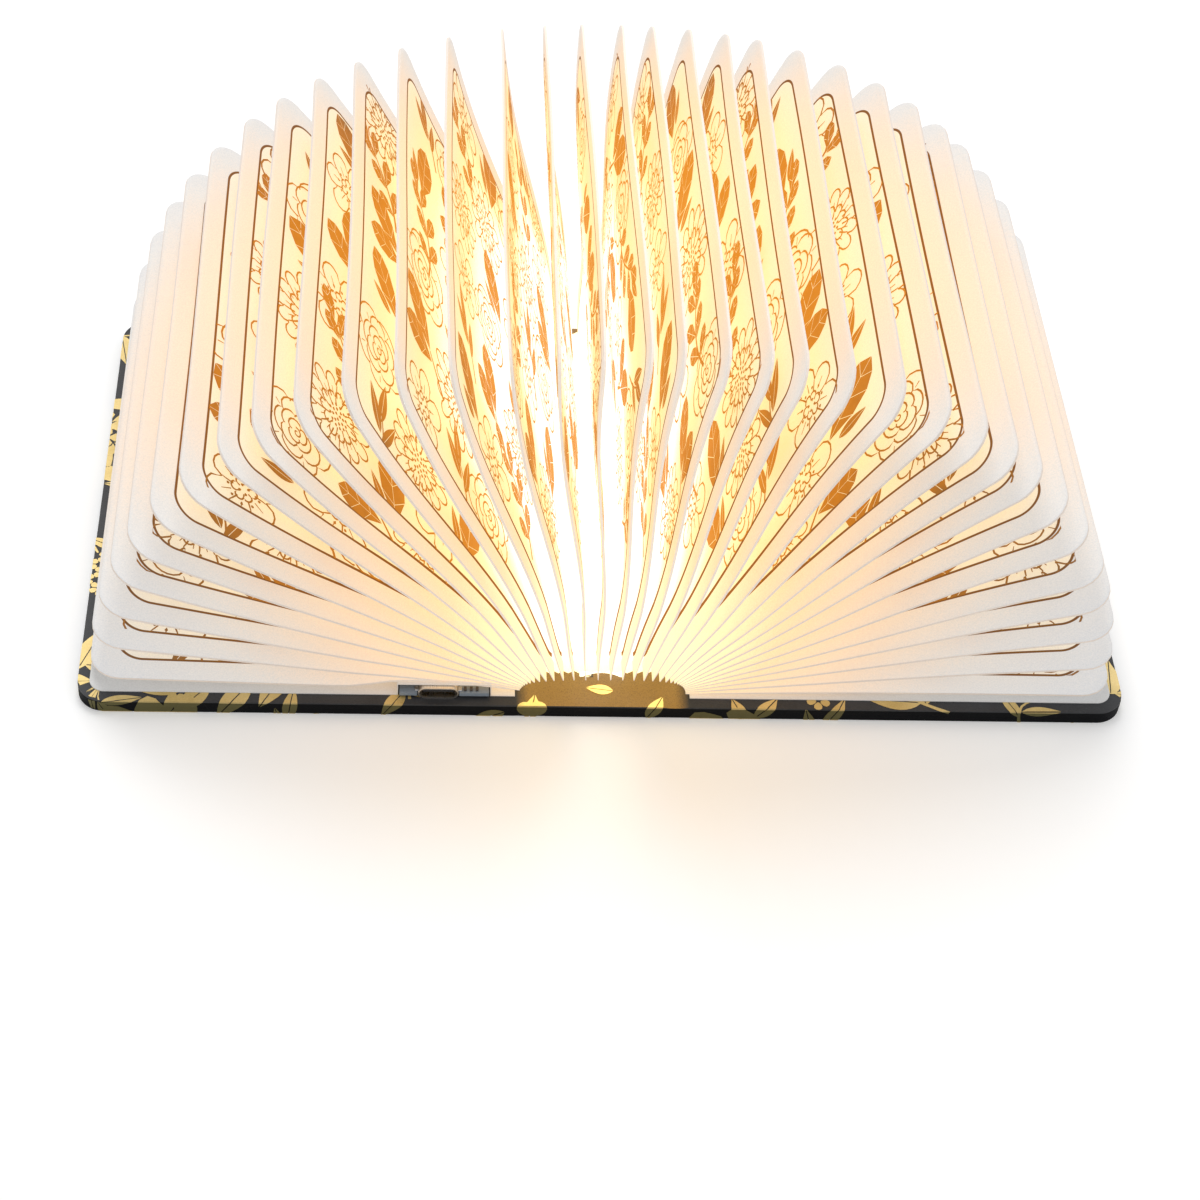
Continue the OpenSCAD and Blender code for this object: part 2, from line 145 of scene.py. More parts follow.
class Recipe(Graph):
    """Node graph of one finish, built round a principled shader."""

    def __init__(self, name: str) -> None:
        """Start with a bare shader.

        Args:
            name: Name of the finish.
        """
        self.material = bpy.data.materials.new(name)
        self.material.use_nodes = True
        super().__init__(self.material.node_tree)
        self.shader = self.node("ShaderNodeBsdfPrincipled")
        self.join(self.shader.outputs["BSDF"], self.node("ShaderNodeOutputMaterial").inputs["Surface"])

    def set(self, **values: object) -> None:
        """Set sockets of the shader; underscores in a name stand for spaces.

        Args:
            **values: Plain values, or output sockets to link.
        """
        for key, value in values.items():
            socket = self.shader.inputs[key.replace("_", " ")]
            if isinstance(value, bpy.types.NodeSocket):
                self.join(value, socket)
            elif isinstance(value, tuple) and len(value) == 3:
                socket.default_value = (*value, 1.0)
            else:
                socket.default_value = value

    def place(self) -> bpy.types.NodeSocket:
        """Object coordinates, in metres."""
        return self.node("ShaderNodeTexCoord").outputs["Object"]

    def uv(self, name: str) -> bpy.types.NodeSocket:
        """A named UV map."""
        return self.node("ShaderNodeUVMap", {"uv_map": name}).outputs["UV"]

    def split(self, vector: bpy.types.NodeSocket) -> tuple[bpy.types.NodeSocket, ...]:
        """The three parts of a vector."""
        return tuple(self.node("ShaderNodeSeparateXYZ", inputs={0: vector}).outputs)

    def noise(self, size: float, detail: float = 3.0, rough: float = 0.55,
              stretch: Colour = WHITE) -> bpy.types.NodeSocket:
        """Cloudy pattern from 0 to 1.

        Args:
            size: Size of one cloud in millimetres.
            detail: Number of finer layers.
            rough: Share of the finer layers.
            stretch: Scale along each axis.

        Returns:
            The factor socket.
        """
        moved = self.node("ShaderNodeMapping", inputs={"Vector": self.place(), "Scale": stretch})
        made = self.node("ShaderNodeTexNoise", inputs={"Vector": moved.outputs[0], "Scale": 1 / (size * MM),
                                                       "Detail": detail, "Roughness": rough})
        return made.outputs["Fac"]

    def cells(self, size: float) -> bpy.types.NodeSocket:
        """Cell pattern.

        Args:
            size: Size of a cell in millimetres.

        Returns:
            The distance from each cell's middle.
        """
        made = self.node("ShaderNodeTexVoronoi", {"feature": "F1"},
                         {"Vector": self.place(), "Scale": 1 / (size * MM)})
        return made.outputs["Distance"]

    def ramp(self, value: bpy.types.NodeSocket, stops: Sequence[tuple[float, Colour]]) -> bpy.types.NodeSocket:
        """Colour that runs through stops.

        Args:
            value: Where along the ramp.
            stops: Each place with its colour.

        Returns:
            The colour socket.
        """
        made = self.node("ShaderNodeValToRGB", inputs={0: value})
        band = made.color_ramp
        while len(band.elements) > 1:
            band.elements.remove(band.elements[-1])
        for k, (where, colour) in enumerate(stops):
            stop = band.elements[0] if k == 0 else band.elements.new(where)
            stop.position = where
            stop.color = (*colour, 1.0)
        return made.outputs["Color"]

    def mix(self, share: object, first: object, second: object) -> bpy.types.NodeSocket:
        """Mixture of two colours.

        Args:
            share: Share of the second, a number or socket.
            first: First colour or socket.
            second: Second colour or socket.

        Returns:
            The colour socket.
        """
        colours = {6: first, 7: second}
        colours = {k: (*c, 1.0) if isinstance(c, tuple) else c for k, c in colours.items()}
        settings = {"data_type": "RGBA", "blend_type": "MIX", "clamp_factor": True}
        return self.node("ShaderNodeMix", settings, {0: share, **colours}).outputs[2]

    def far(self, value: bpy.types.NodeSocket, limit: float) -> bpy.types.NodeSocket:
        """1 where a coordinate is further than a limit in millimetres from the middle, otherwise 0."""
        return self.math("GREATER_THAN", self.math("ABSOLUTE", value), limit * MM)

    def shaded_flank(self) -> bpy.types.NodeSocket:
        """Where the upright edge faces of the case are, which get painted shade.

        Returns:
            A share that is 1 there and 0 elsewhere.
        """
        low, high, ends, sides = CASE_SHADED_FLANK
        x, y, z = self.split(self.place())
        tall = self.math("MULTIPLY", self.math("GREATER_THAN", z, low * MM), self.math("LESS_THAN", z, high * MM))
        return self.math("MULTIPLY", tall, self.math("ADD", self.far(x, ends), self.far(y, sides), clamp=True))

    def spill(self, reach: float) -> bpy.types.NodeSocket:
        """How much light of the strip falls on the top of the case.

        Args:
            reach: Where it ends to either side, in millimetres.

        Returns:
            The share socket.
        """
        height, fade, upright = CASE_TOP
        x, _, z = self.split(self.place())
        side = self.math("SUBTRACT", reach * MM, self.math("ABSOLUTE", x))
        _, _, facing = self.split(self.node("ShaderNodeNewGeometry").outputs["Normal"])
        upper = self.math("MULTIPLY", self.math("GREATER_THAN", z, height * MM),
                          self.math("GREATER_THAN", facing, upright))
        return self.math("MULTIPLY", upper, self.math("DIVIDE", side, fade * MM, clamp=True))

    def bump(self, height: bpy.types.NodeSocket, depth: float, strength: float = 1.0) -> None:
        """Raise the surface by a pattern.

        Args:
            height: The pattern.
            depth: Height of a full step in millimetres.
            strength: Share of the effect.
        """
        made = self.node("ShaderNodeBump", inputs={"Height": height, "Distance": depth * MM, "Strength": strength})
        self.join(made.outputs[0], self.shader.inputs["Normal"])


@dataclass(frozen=True)
class Leatherette:
    """Cloth-grained leatherette of the case, which takes light from the strip near the spine, with painted shade on its
    upright edge faces.
    """

    name: str = "case_leatherette"
    dark: Colour = tint(38, 39, 42)
    pale: Colour = tint(60, 61, 64)
    lit: Colour = tint(172, 120, 26)
    grain: float = 0.42
    reach: float = 19.0

    def make(self) -> bpy.types.Material:
        """Build the material.

        Returns:
            The finished material.
        """
        r = Recipe(self.name)
        weave = r.cells(self.grain)
        fine = r.noise(0.25, 2)
        broad = r.noise(9.0, 3)
        tone = r.math("MULTIPLY_ADD", fine, 0.45, r.math("MULTIPLY", broad, 0.55))
        face = r.ramp(tone, [(0.3, self.dark), (0.75, self.pale)])
        # Painted shade: the upright edge faces are darkened to 0.3 of the dark tone and given less sheen.
        r.set(Base_Color=r.mix(r.shaded_flank(), face, tuple(0.3 * c for c in self.dark)),
              Roughness=r.math("MULTIPLY_ADD", fine, 0.2, 0.42),
              Specular_IOR_Level=r.math("MULTIPLY_ADD", r.shaded_flank(), -0.34, 0.4))
        r.bump(r.math("ADD", weave, fine), 0.06, 0.7)
        spill = r.math("MULTIPLY", r.spill(self.reach), r.math("MULTIPLY_ADD", fine, 1.7, 0.15))
        r.set(Emission_Color=r.mix(spill, BLACK, self.lit), Emission_Strength=0.8)
        return r.material


@dataclass(frozen=True)
class Foil:
    """Satin gold foil print on the leatherette, brighter where the strip lights it, with painted shade on the upright
    edge faces.
    """

    name: str = "gold_foil"
    low: Colour = tint(196, 170, 104)
    high: Colour = tint(236, 212, 150)
    shaded_flank: Colour = tint(104, 98, 58)
    # Painted shade: dull olive gold of the foil on the upright edge faces.
    lit: Colour = tint(255, 232, 120)
    reach: float = 20.0

    def make(self) -> bpy.types.Material:
        """Build the material.

        Returns:
            The finished material.
        """
        r = Recipe(self.name)
        fine = r.noise(0.3, 2)
        broad = r.noise(14.0, 2)
        tone = r.math("MULTIPLY_ADD", fine, 0.3, r.math("MULTIPLY", broad, 0.7))
        r.set(Base_Color=r.mix(r.shaded_flank(), r.ramp(tone, [(0.3, self.low), (0.7, self.high)]), self.shaded_flank),
              Metallic=0.55, Roughness=r.math("MULTIPLY_ADD", fine, 0.22, 0.34))
        r.bump(r.math("ADD", r.cells(0.42), fine), 0.03, 0.6)
        r.set(Emission_Color=r.mix(r.spill(self.reach), BLACK, self.lit), Emission_Strength=0.6)
        return r.material


@dataclass(frozen=True)
class FrameLine:
    """Where the printed line runs on a page, in millimetres of the page."""

    reach: float = 94.0
    half: float = 59.3
    inset: float = 5.6
    corner: float = 6.0
    width: float = 0.62


@dataclass(frozen=True)
class LitPaper:
    """White fibrous paper with the light of the strip in it; the level comes from the page's own map."""

    name: str = "lit_paper"
    line: FrameLine = FrameLine()
    soft: float = 22.0
    sharp: float = 4.0
    hook: float = 4.0
    hook_depth: float = 0.14
    root_width: float = 3.2
    root_reach: float = 60.0
    line_start: float = 1.2
    ink: Colour = tint(84, 52, 24)
    # The printed line's glow: brown print with painted light that runs to orange as the margin's light level rises.
    printed: tuple[tuple[float, Colour], ...] = (
        (0.0, tint(88, 64, 42)), (0.3, tint(122, 76, 28)), (0.7, tint(146, 84, 18)), (1.0, tint(160, 92, 16)))
    inner: tuple[tuple[float, Colour], ...] = (
        (0.0, tint(184, 182, 178)), (0.12, tint(202, 188, 164)), (0.28, tint(222, 195, 146)),
        (0.48, tint(232, 205, 136)), (0.68, tint(240, 218, 150)), (0.9, tint(255, 244, 206)),
        (1.0, tint(255, 250, 232)))
    outer: tuple[tuple[float, Colour], ...] = (
        (0.0, tint(172, 174, 177)), (0.12, tint(182, 178, 173)), (0.3, tint(204, 178, 152)),
        (0.6, tint(226, 188, 138)), (1.0, tint(250, 226, 166)))

    def make(self) -> bpy.types.Material:
        """Build the material.

        Returns:
            The finished material.
        """
        r = Recipe(self.name)
        u, v, _ = r.split(r.uv("sheet"))
        level, margin, _ = r.split(r.uv("glow"))
        along = r.math("MULTIPLY", u, 100.0)
        across = r.math("ABSOLUTE", r.math("MULTIPLY_ADD", v, 200.0, -100.0))
        c = self.line
        px = r.math("SUBTRACT", along, c.reach - c.inset - c.corner)
        py = r.math("SUBTRACT", across, c.half - c.inset - c.corner)
        qx, qy = r.math("MAXIMUM", px, 0.0), r.math("MAXIMUM", py, 0.0)
        out = r.math("SQRT", r.math("ADD", r.math("MULTIPLY", qx, qx), r.math("MULTIPLY", qy, qy)))
        within = r.math("MINIMUM", r.math("MAXIMUM", px, py), 0.0)
        reach = r.math("SUBTRACT", r.math("ADD", out, within), c.corner)
        inside = r.math("MULTIPLY_ADD", reach, -self.sharp, 0.5, clamp=True)
        depth = r.math("DIVIDE", reach, -self.soft, clamp=True)
        cloud = r.noise(1.6, 4, 0.65)
        fibre = r.noise(0.35, 3, 0.6)
        grain = r.math("MULTIPLY_ADD", fibre, 0.16, r.math("MULTIPLY_ADD", cloud, 0.08, -0.12))
        raised = r.math("MULTIPLY", level, r.math("MULTIPLY_ADD", depth, 0.62, 0.5))
        core = r.ramp(r.math("ADD", raised, grain, clamp=True), self.inner)
        edge = r.ramp(r.math("ADD", margin, grain, clamp=True), self.outer)
        bend = r.math("MAXIMUM", r.math("SUBTRACT", self.hook, along), 0.0)
        hook = r.math("MULTIPLY", r.math("MULTIPLY", bend, bend), self.hook_depth)
        off = r.math("ABSOLUTE", r.math("ADD", reach, hook))
        wide = r.math("MULTIPLY_ADD", r.math("DIVIDE", along, -self.root_reach), self.root_width, self.root_width)
        wide = r.math("ADD", r.math("MAXIMUM", wide, 0.0), 0.5 + 5.0 * c.width)
        stroke = r.math("MULTIPLY_ADD", off, -10.0, wide, clamp=True)
        stroke = r.math("MULTIPLY", stroke, r.math("GREATER_THAN", along, self.line_start))
        paper = r.ramp(fibre, [(0.3, tint(160, 160, 160)), (0.7, tint(178, 177, 177))])
        r.set(Base_Color=r.mix(stroke, paper, self.ink), Roughness=0.85, Specular_IOR_Level=0.2,
              Emission_Color=r.mix(stroke, r.mix(inside, edge, core), r.ramp(margin, self.printed)),
              Emission_Strength=1.0)
        r.bump(fibre, 0.03, 0.5)
        return r.material


@dataclass(frozen=True)
class LitInk:
    """Brown print that glows orange where the light comes through the sheet."""

    name: str = "lit_ink"
    base: Colour = tint(100, 62, 26)
    stops: tuple[tuple[float, Colour], ...] = (
        (0.0, tint(104, 82, 58)), (0.15, tint(140, 96, 44)), (0.35, tint(194, 118, 30)),
        (0.6, tint(222, 136, 28)), (0.8, tint(232, 146, 34)), (1.0, tint(238, 158, 52)))

    def make(self) -> bpy.types.Material:
        """Build the material.

        Returns:
            The finished material.
        """
        r = Recipe(self.name)
        _, margin, _ = r.split(r.uv("glow"))
        cloud = r.noise(3.0, 3, 0.6)
        value = r.math("ADD", margin, r.math("MULTIPLY_ADD", cloud, 0.3, -0.15), clamp=True)
        r.set(Base_Color=self.base, Roughness=0.7, Specular_IOR_Level=0.2,
              Emission_Color=r.ramp(value, self.stops), Emission_Strength=0.85)
        return r.material


@dataclass(frozen=True)
class Sheet:
    """Plain paper that catches some of the light near the spine: endpapers and cut edges."""

    name: str
    colour: Colour = tint(232, 231, 230)
    glow: Colour = tint(236, 190, 140)
    base: float = 0.0
    reach: float = 60.0

    def make(self) -> bpy.types.Material:
        """Build the material.

        Returns:
            The finished material.
        """
        r = Recipe(self.name)
        fibre = r.noise(0.35, 3, 0.6)
        low = tuple(0.9 * c for c in self.colour)
        r.set(Base_Color=r.ramp(fibre, [(0.3, low), (0.7, self.colour)]), Roughness=0.85,
              Specular_IOR_Level=0.2)
        x, _, _ = r.split(r.place())
        near = r.math("SUBTRACT", 1.0, r.math("DIVIDE", r.math("ABSOLUTE", x), self.reach * MM), clamp=True)
        share = r.math("MULTIPLY_ADD", near, 0.45, self.base, clamp=True)
        r.set(Emission_Color=r.mix(share, BLACK, self.glow), Emission_Strength=0.6)
        r.bump(fibre, 0.03, 0.5)
        return r.material


@dataclass(frozen=True)
class Metal:
    """Drawn or stamped metal with a fine brushed grain."""

    name: str
    colour: Colour
    roughness: float = 0.3
    stretch: Colour = (1.0, 0.08, 1.0)

    def make(self) -> bpy.types.Material:
        """Build the material.

        Returns:
            The finished material.
        """
        r = Recipe(self.name)
        brush = r.noise(0.12, 2, 0.5, stretch=self.stretch)
        low = tuple(0.82 * c for c in self.colour)
        r.set(Base_Color=r.ramp(brush, [(0.3, low), (0.7, self.colour)]), Metallic=1.0,
              Roughness=r.math("MULTIPLY_ADD", brush, 0.2, self.roughness))
        r.bump(brush, 0.01, 0.4)
        return r.material


@dataclass(frozen=True)
class Moulded:
    """Moulded plastic, lacquer or foam with a fine skin."""

    name: str
    colour: Colour
    roughness: float = 0.5
    grain: float = 0.2
    depth: float = 0.02
    glow: float = 0.0

    def make(self) -> bpy.types.Material:
        """Build the material.

        Returns:
            The finished material.
        """
        r = Recipe(self.name)
        skin = r.noise(self.grain, 3)
        low = tuple(0.8 * c for c in self.colour)
        r.set(Base_Color=r.ramp(skin, [(0.25, low), (0.75, self.colour)]),
              Roughness=r.math("MULTIPLY_ADD", skin, 0.15, self.roughness))
        if self.glow:
            r.set(Emission_Color=r.ramp(skin, [(0.25, low), (0.75, self.colour)]), Emission_Strength=self.glow)
        r.bump(skin, self.depth, 0.6)
        return r.material


@dataclass(frozen=True)
class Pasteboard:
    """Grey pressed board with flecks of pulp."""

    name: str = "pasteboard"
    colour: Colour = tint(150, 146, 138)

    def make(self) -> bpy.types.Material:
        """Build the material.

        Returns:
            The finished material.
        """
        r = Recipe(self.name)
        fleck = r.math("ADD", r.noise(0.8, 5, 0.7), r.math("MULTIPLY", r.cells(0.6), -0.2))
        low = tuple(0.6 * c for c in self.colour)
        r.set(Base_Color=r.ramp(fleck, [(0.25, low), (0.55, self.colour)]), Roughness=0.9)
        r.bump(fleck, 0.08, 0.8)
        return r.material


@dataclass(frozen=True)
class FlexTape:
    """Pale film with tinned tracks that run along X."""

    name: str = "flex_tape"
    film: Colour = tint(230, 222, 204)
    track: Colour = tint(200, 190, 168)
    pitch: float = 0.6

    def make(self) -> bpy.types.Material:
        """Build the material.

        Returns:
            The finished material.
        """
        r = Recipe(self.name)
        _, y, _ = r.split(r.place())
        wave = r.math("SINE", r.math("MULTIPLY", y, 2 * math.pi / (self.pitch * MM)))
        tracks = r.math("MULTIPLY_ADD", wave, 6.0, -1.0, clamp=True)
        r.set(Base_Color=r.mix(tracks, self.film, self.track), Roughness=0.3, Coat_Weight=0.4)
        r.bump(tracks, 0.02, 0.5)
        return r.material


SHELF: dict[str, bpy.types.Material] = {}


class Finish(Enum):
    """The finishes of the lamp, each made once."""

    LEATHERETTE = Leatherette()
    FOIL = Foil()
    PAPER = LitPaper()
    INK = LitInk()
    CUT_EDGE = Sheet("cut_edge", tint(216, 210, 206), tint(240, 216, 188), 0.45, 55.0)
    ENDPAPER = Sheet("endpaper_stock", tint(236, 236, 235))
    FOLDS = Moulded("lit_folds", tint(255, 240, 200), 0.8, 0.4, 0.02, 1.0)
    DIFFUSER = Moulded("frosted_cover", tint(255, 244, 214), 0.4, 0.3, 0.01, 2.0)
    PHOSPHOR = Moulded("phosphor", tint(255, 214, 120), 0.4, 0.2, 0.01, 4.0)
    CHANNEL = Moulded("white_carrier", tint(228, 226, 220), 0.45)
    LACQUER = Moulded("white_lacquer", tint(222, 226, 226), 0.35, 0.4)
    CHIP = Moulded("chip_resin", tint(30, 31, 34), 0.45, 0.1)
    CERAMIC = Moulded("part_ceramic", tint(86, 78, 70), 0.5, 0.1)
    MASK = Moulded("board_mask", tint(150, 162, 174), 0.35, 0.4)
    SOLDER = Metal("solder", tint(196, 198, 202), 0.3)
    SHELL = Metal("plated_shell", tint(238, 230, 218), 0.2)
    CONTACT = Metal("gilt_contact", tint(224, 186, 96), 0.25)
    TONGUE = Moulded("black_tongue", tint(52, 54, 58), 0.4, 0.1)
    FOAM = Moulded("foam_tape", tint(92, 92, 94), 0.9, 0.15, 0.08)
    POUCH = Metal("pouch_film", tint(188, 192, 198), 0.35, (1.0, 1.0, 1.0))
    LEAD = Moulded("lead_sleeve", tint(150, 24, 22), 0.45)
    MAGNET = Metal("nickel_magnet", tint(190, 190, 194), 0.22)
    BOARD = Pasteboard()
    # Painted light: the spine lining is the case's dark leatherette, coloured brown-gold as lit by the strip beside it.
    LIT_LINING = Leatherette("strip_lit_lining", tint(96, 70, 32), tint(128, 94, 44))
    TAPE = FlexTape()

    @property
    def material(self) -> bpy.types.Material:
        """The material, built on first use.

        Returns:
            The one material of this finish.
        """
        if self.name not in SHELF:
            SHELF[self.name] = self.value.make()
        return SHELF[self.name]


# ---------------------------------------------------------------- workbench

# Rise from one part of a print to the next, in millimetres, so that none share a level where they cross
PART_LAYER = 0.002


class Bench:
    """Workbench on which pieces are modelled with Blender's own operators."""

    @staticmethod
    def clear() -> None:
        """Leave edit mode and deselect every object."""
        if bpy.context.object and bpy.context.object.mode != "OBJECT":
            bpy.ops.object.mode_set(mode="OBJECT")
        bpy.ops.object.select_all(action="DESELECT")

    @staticmethod
    def link(name: str, data: bpy.types.ID) -> bpy.types.Object:
        """Add an object to the scene.

        Args:
            name: Its name.
            data: Its mesh, camera or light.

        Returns:
            The new object.
        """
        obj = bpy.data.objects.new(name, data)
        bpy.context.scene.collection.objects.link(obj)
        return obj

    @staticmethod
    def take(*objs: bpy.types.Object) -> bpy.types.Object:
        """Select these objects alone, with the first one active.

        Args:
            *objs: The objects.

        Returns:
            The first of them.
        """
        Bench.clear()
        for obj in objs:
            obj.select_set(True)
        bpy.context.view_layer.objects.active = objs[0]
        return objs[0]

    @staticmethod
    def fuse(*parts: bpy.types.Object) -> bpy.types.Object:
        """Join parts into the first of them.

        Args:
            *parts: The parts, each already painted.

        Returns:
            The joined piece.
        """
        Bench.take(*parts)
        bpy.ops.object.join()
        return bpy.context.object

    @staticmethod
    def cube() -> bpy.types.Object:
        """A cube from -0.5 to 0.5.

        Returns:
            The new object.
        """
        Bench.clear()
        bpy.ops.mesh.primitive_cube_add(size=1)
        return bpy.context.object

    @staticmethod
    def edit() -> None:
        """Start to edit the active object, with all of it selected."""
        bpy.ops.object.mode_set(mode="EDIT")
        bpy.ops.mesh.select_mode(type="FACE")
        bpy.ops.mesh.select_all(action="SELECT")

    @staticmethod
    def done() -> bpy.types.Object:
        """Stop editing and return the object."""
        bpy.ops.object.mode_set(mode="OBJECT")
        return bpy.context.object

    @staticmethod
    def grid(columns: int, rows: int) -> bpy.types.Object:
        """A flat grid from -1 to 1.

        Args:
            columns: Faces along X.
            rows: Faces along Y.

        Returns:
            The new object.
        """
        Bench.clear()
        bpy.ops.mesh.primitive_grid_add(x_subdivisions=columns, y_subdivisions=rows, size=2)
        return bpy.context.object

    @staticmethod
    def corners(obj: bpy.types.Object) -> np.ndarray:
        """Corner places of an object's mesh.

        Args:
            obj: The object.

        Returns:
            One row of X, Y and Z for each corner.
        """
        co = np.empty(len(obj.data.vertices) * 3)
        obj.data.vertices.foreach_get("co", co)
        return co.reshape(-1, 3)

    @staticmethod
    def shape(obj: bpy.types.Object, places: np.ndarray) -> None:
        """Move an object's corners to new places."""
        obj.data.vertices.foreach_set("co", np.ascontiguousarray(places, dtype=np.float32).ravel())
        obj.data.update()

    @staticmethod
    def paint(obj: bpy.types.Object, *finishes: Finish) -> bpy.types.Object:
        """Give an object its finishes.

        Args:
            obj: The piece.
            *finishes: One for each material slot.

        Returns:
            The piece.
        """
        slots = [p.material_index for p in obj.data.polygons]
        obj.data.materials.clear()
        for finish in finishes:
            obj.data.materials.append(finish.material)
        if len(finishes) > 1:
            obj.data.polygons.foreach_set("material_index", slots)
        return obj


@dataclass
class Stencil:
    """A flat pattern in millimetres: its corners as X, Y and the height of its layer, and its faces."""

    points: np.ndarray
    faces: list[tuple[int, ...]]

    @classmethod
    def lift(cls, obj: bpy.types.Object) -> "Stencil":
        """Take the flat pattern off the bench.

        Args:
            obj: The object that holds it, which is cleared away.

        Returns:
            The pattern.
        """
        made = cls(Bench.corners(obj).copy(), [tuple(p.vertices) for p in obj.data.polygons])
        mesh = obj.data
        bpy.data.objects.remove(obj)
        bpy.data.meshes.remove(mesh)
        return made

    @classmethod
    def joined(cls, parts: Sequence["Stencil"]) -> "Stencil":
        """One pattern from several.

        Args:
            parts: The patterns.

        Returns:
            All of them together.
        """
        points, faces, start = [], [], 0
        for k, part in enumerate(parts):
            points.append(part.points + (0.0, 0.0, PART_LAYER * (k % 7)))
            faces += [tuple(n + start for n in face) for face in part.faces]
            start += len(part.points)
        return cls(np.concatenate(points), faces)

    def moved(self, x: float = 0.0, y: float = 0.0, turn: float = 0.0, scale: float = 1.0,
              flip: bool = False, layer: float = 0.0) -> "Stencil":
        """The pattern at another place.

        Args:
            x: Shift along X.
            y: Shift along Y.
            turn: Turn in degrees.
            scale: Size factor.
            flip: Whether it is mirrored first.
            layer: Rise of its layer.

        Returns:
            The moved copy.
        """
        a = math.radians(turn)
        px, py = self.points[:, 0] * scale, self.points[:, 1] * scale * (-1 if flip else 1)
        points = np.stack([x + px * math.cos(a) - py * math.sin(a), y + px * math.sin(a) + py * math.cos(a),
                           self.points[:, 2] + layer], 1)
        faces = [face[::-1] for face in self.faces] if flip else list(self.faces)
        return Stencil(points, faces)

    def bench(self) -> bpy.types.Object:
        """Lay the pattern on the bench as an object.

        Returns:
            The new object, selected and active.
        """
        mesh = bpy.data.meshes.new("pattern")
        mesh.from_pydata(self.points.tolist(), [], self.faces)
        return Bench.take(Bench.link("pattern", mesh))

    def cut(self, cuts: Sequence[tuple[str, float, int]]) -> "Stencil":
        """Cut the pattern along straight lines.

        Args:
            cuts: Each an axis, a place on it, and -1 or 1 to drop the lower or upper side, or 0 to keep both.

        Returns:
            The cut pattern.
        """
        self.bench()
        Bench.edit()
        for axis, place, drop in cuts:
            along = (1, 0, 0) if axis == "x" else (0, 1, 0)
            bpy.ops.mesh.select_all(action="SELECT")
            bpy.ops.mesh.bisect(plane_co=tuple(place * a for a in along), plane_no=along, threshold=1e-5,
                                clear_inner=drop < 0, clear_outer=drop > 0)
        return Stencil.lift(Bench.done())


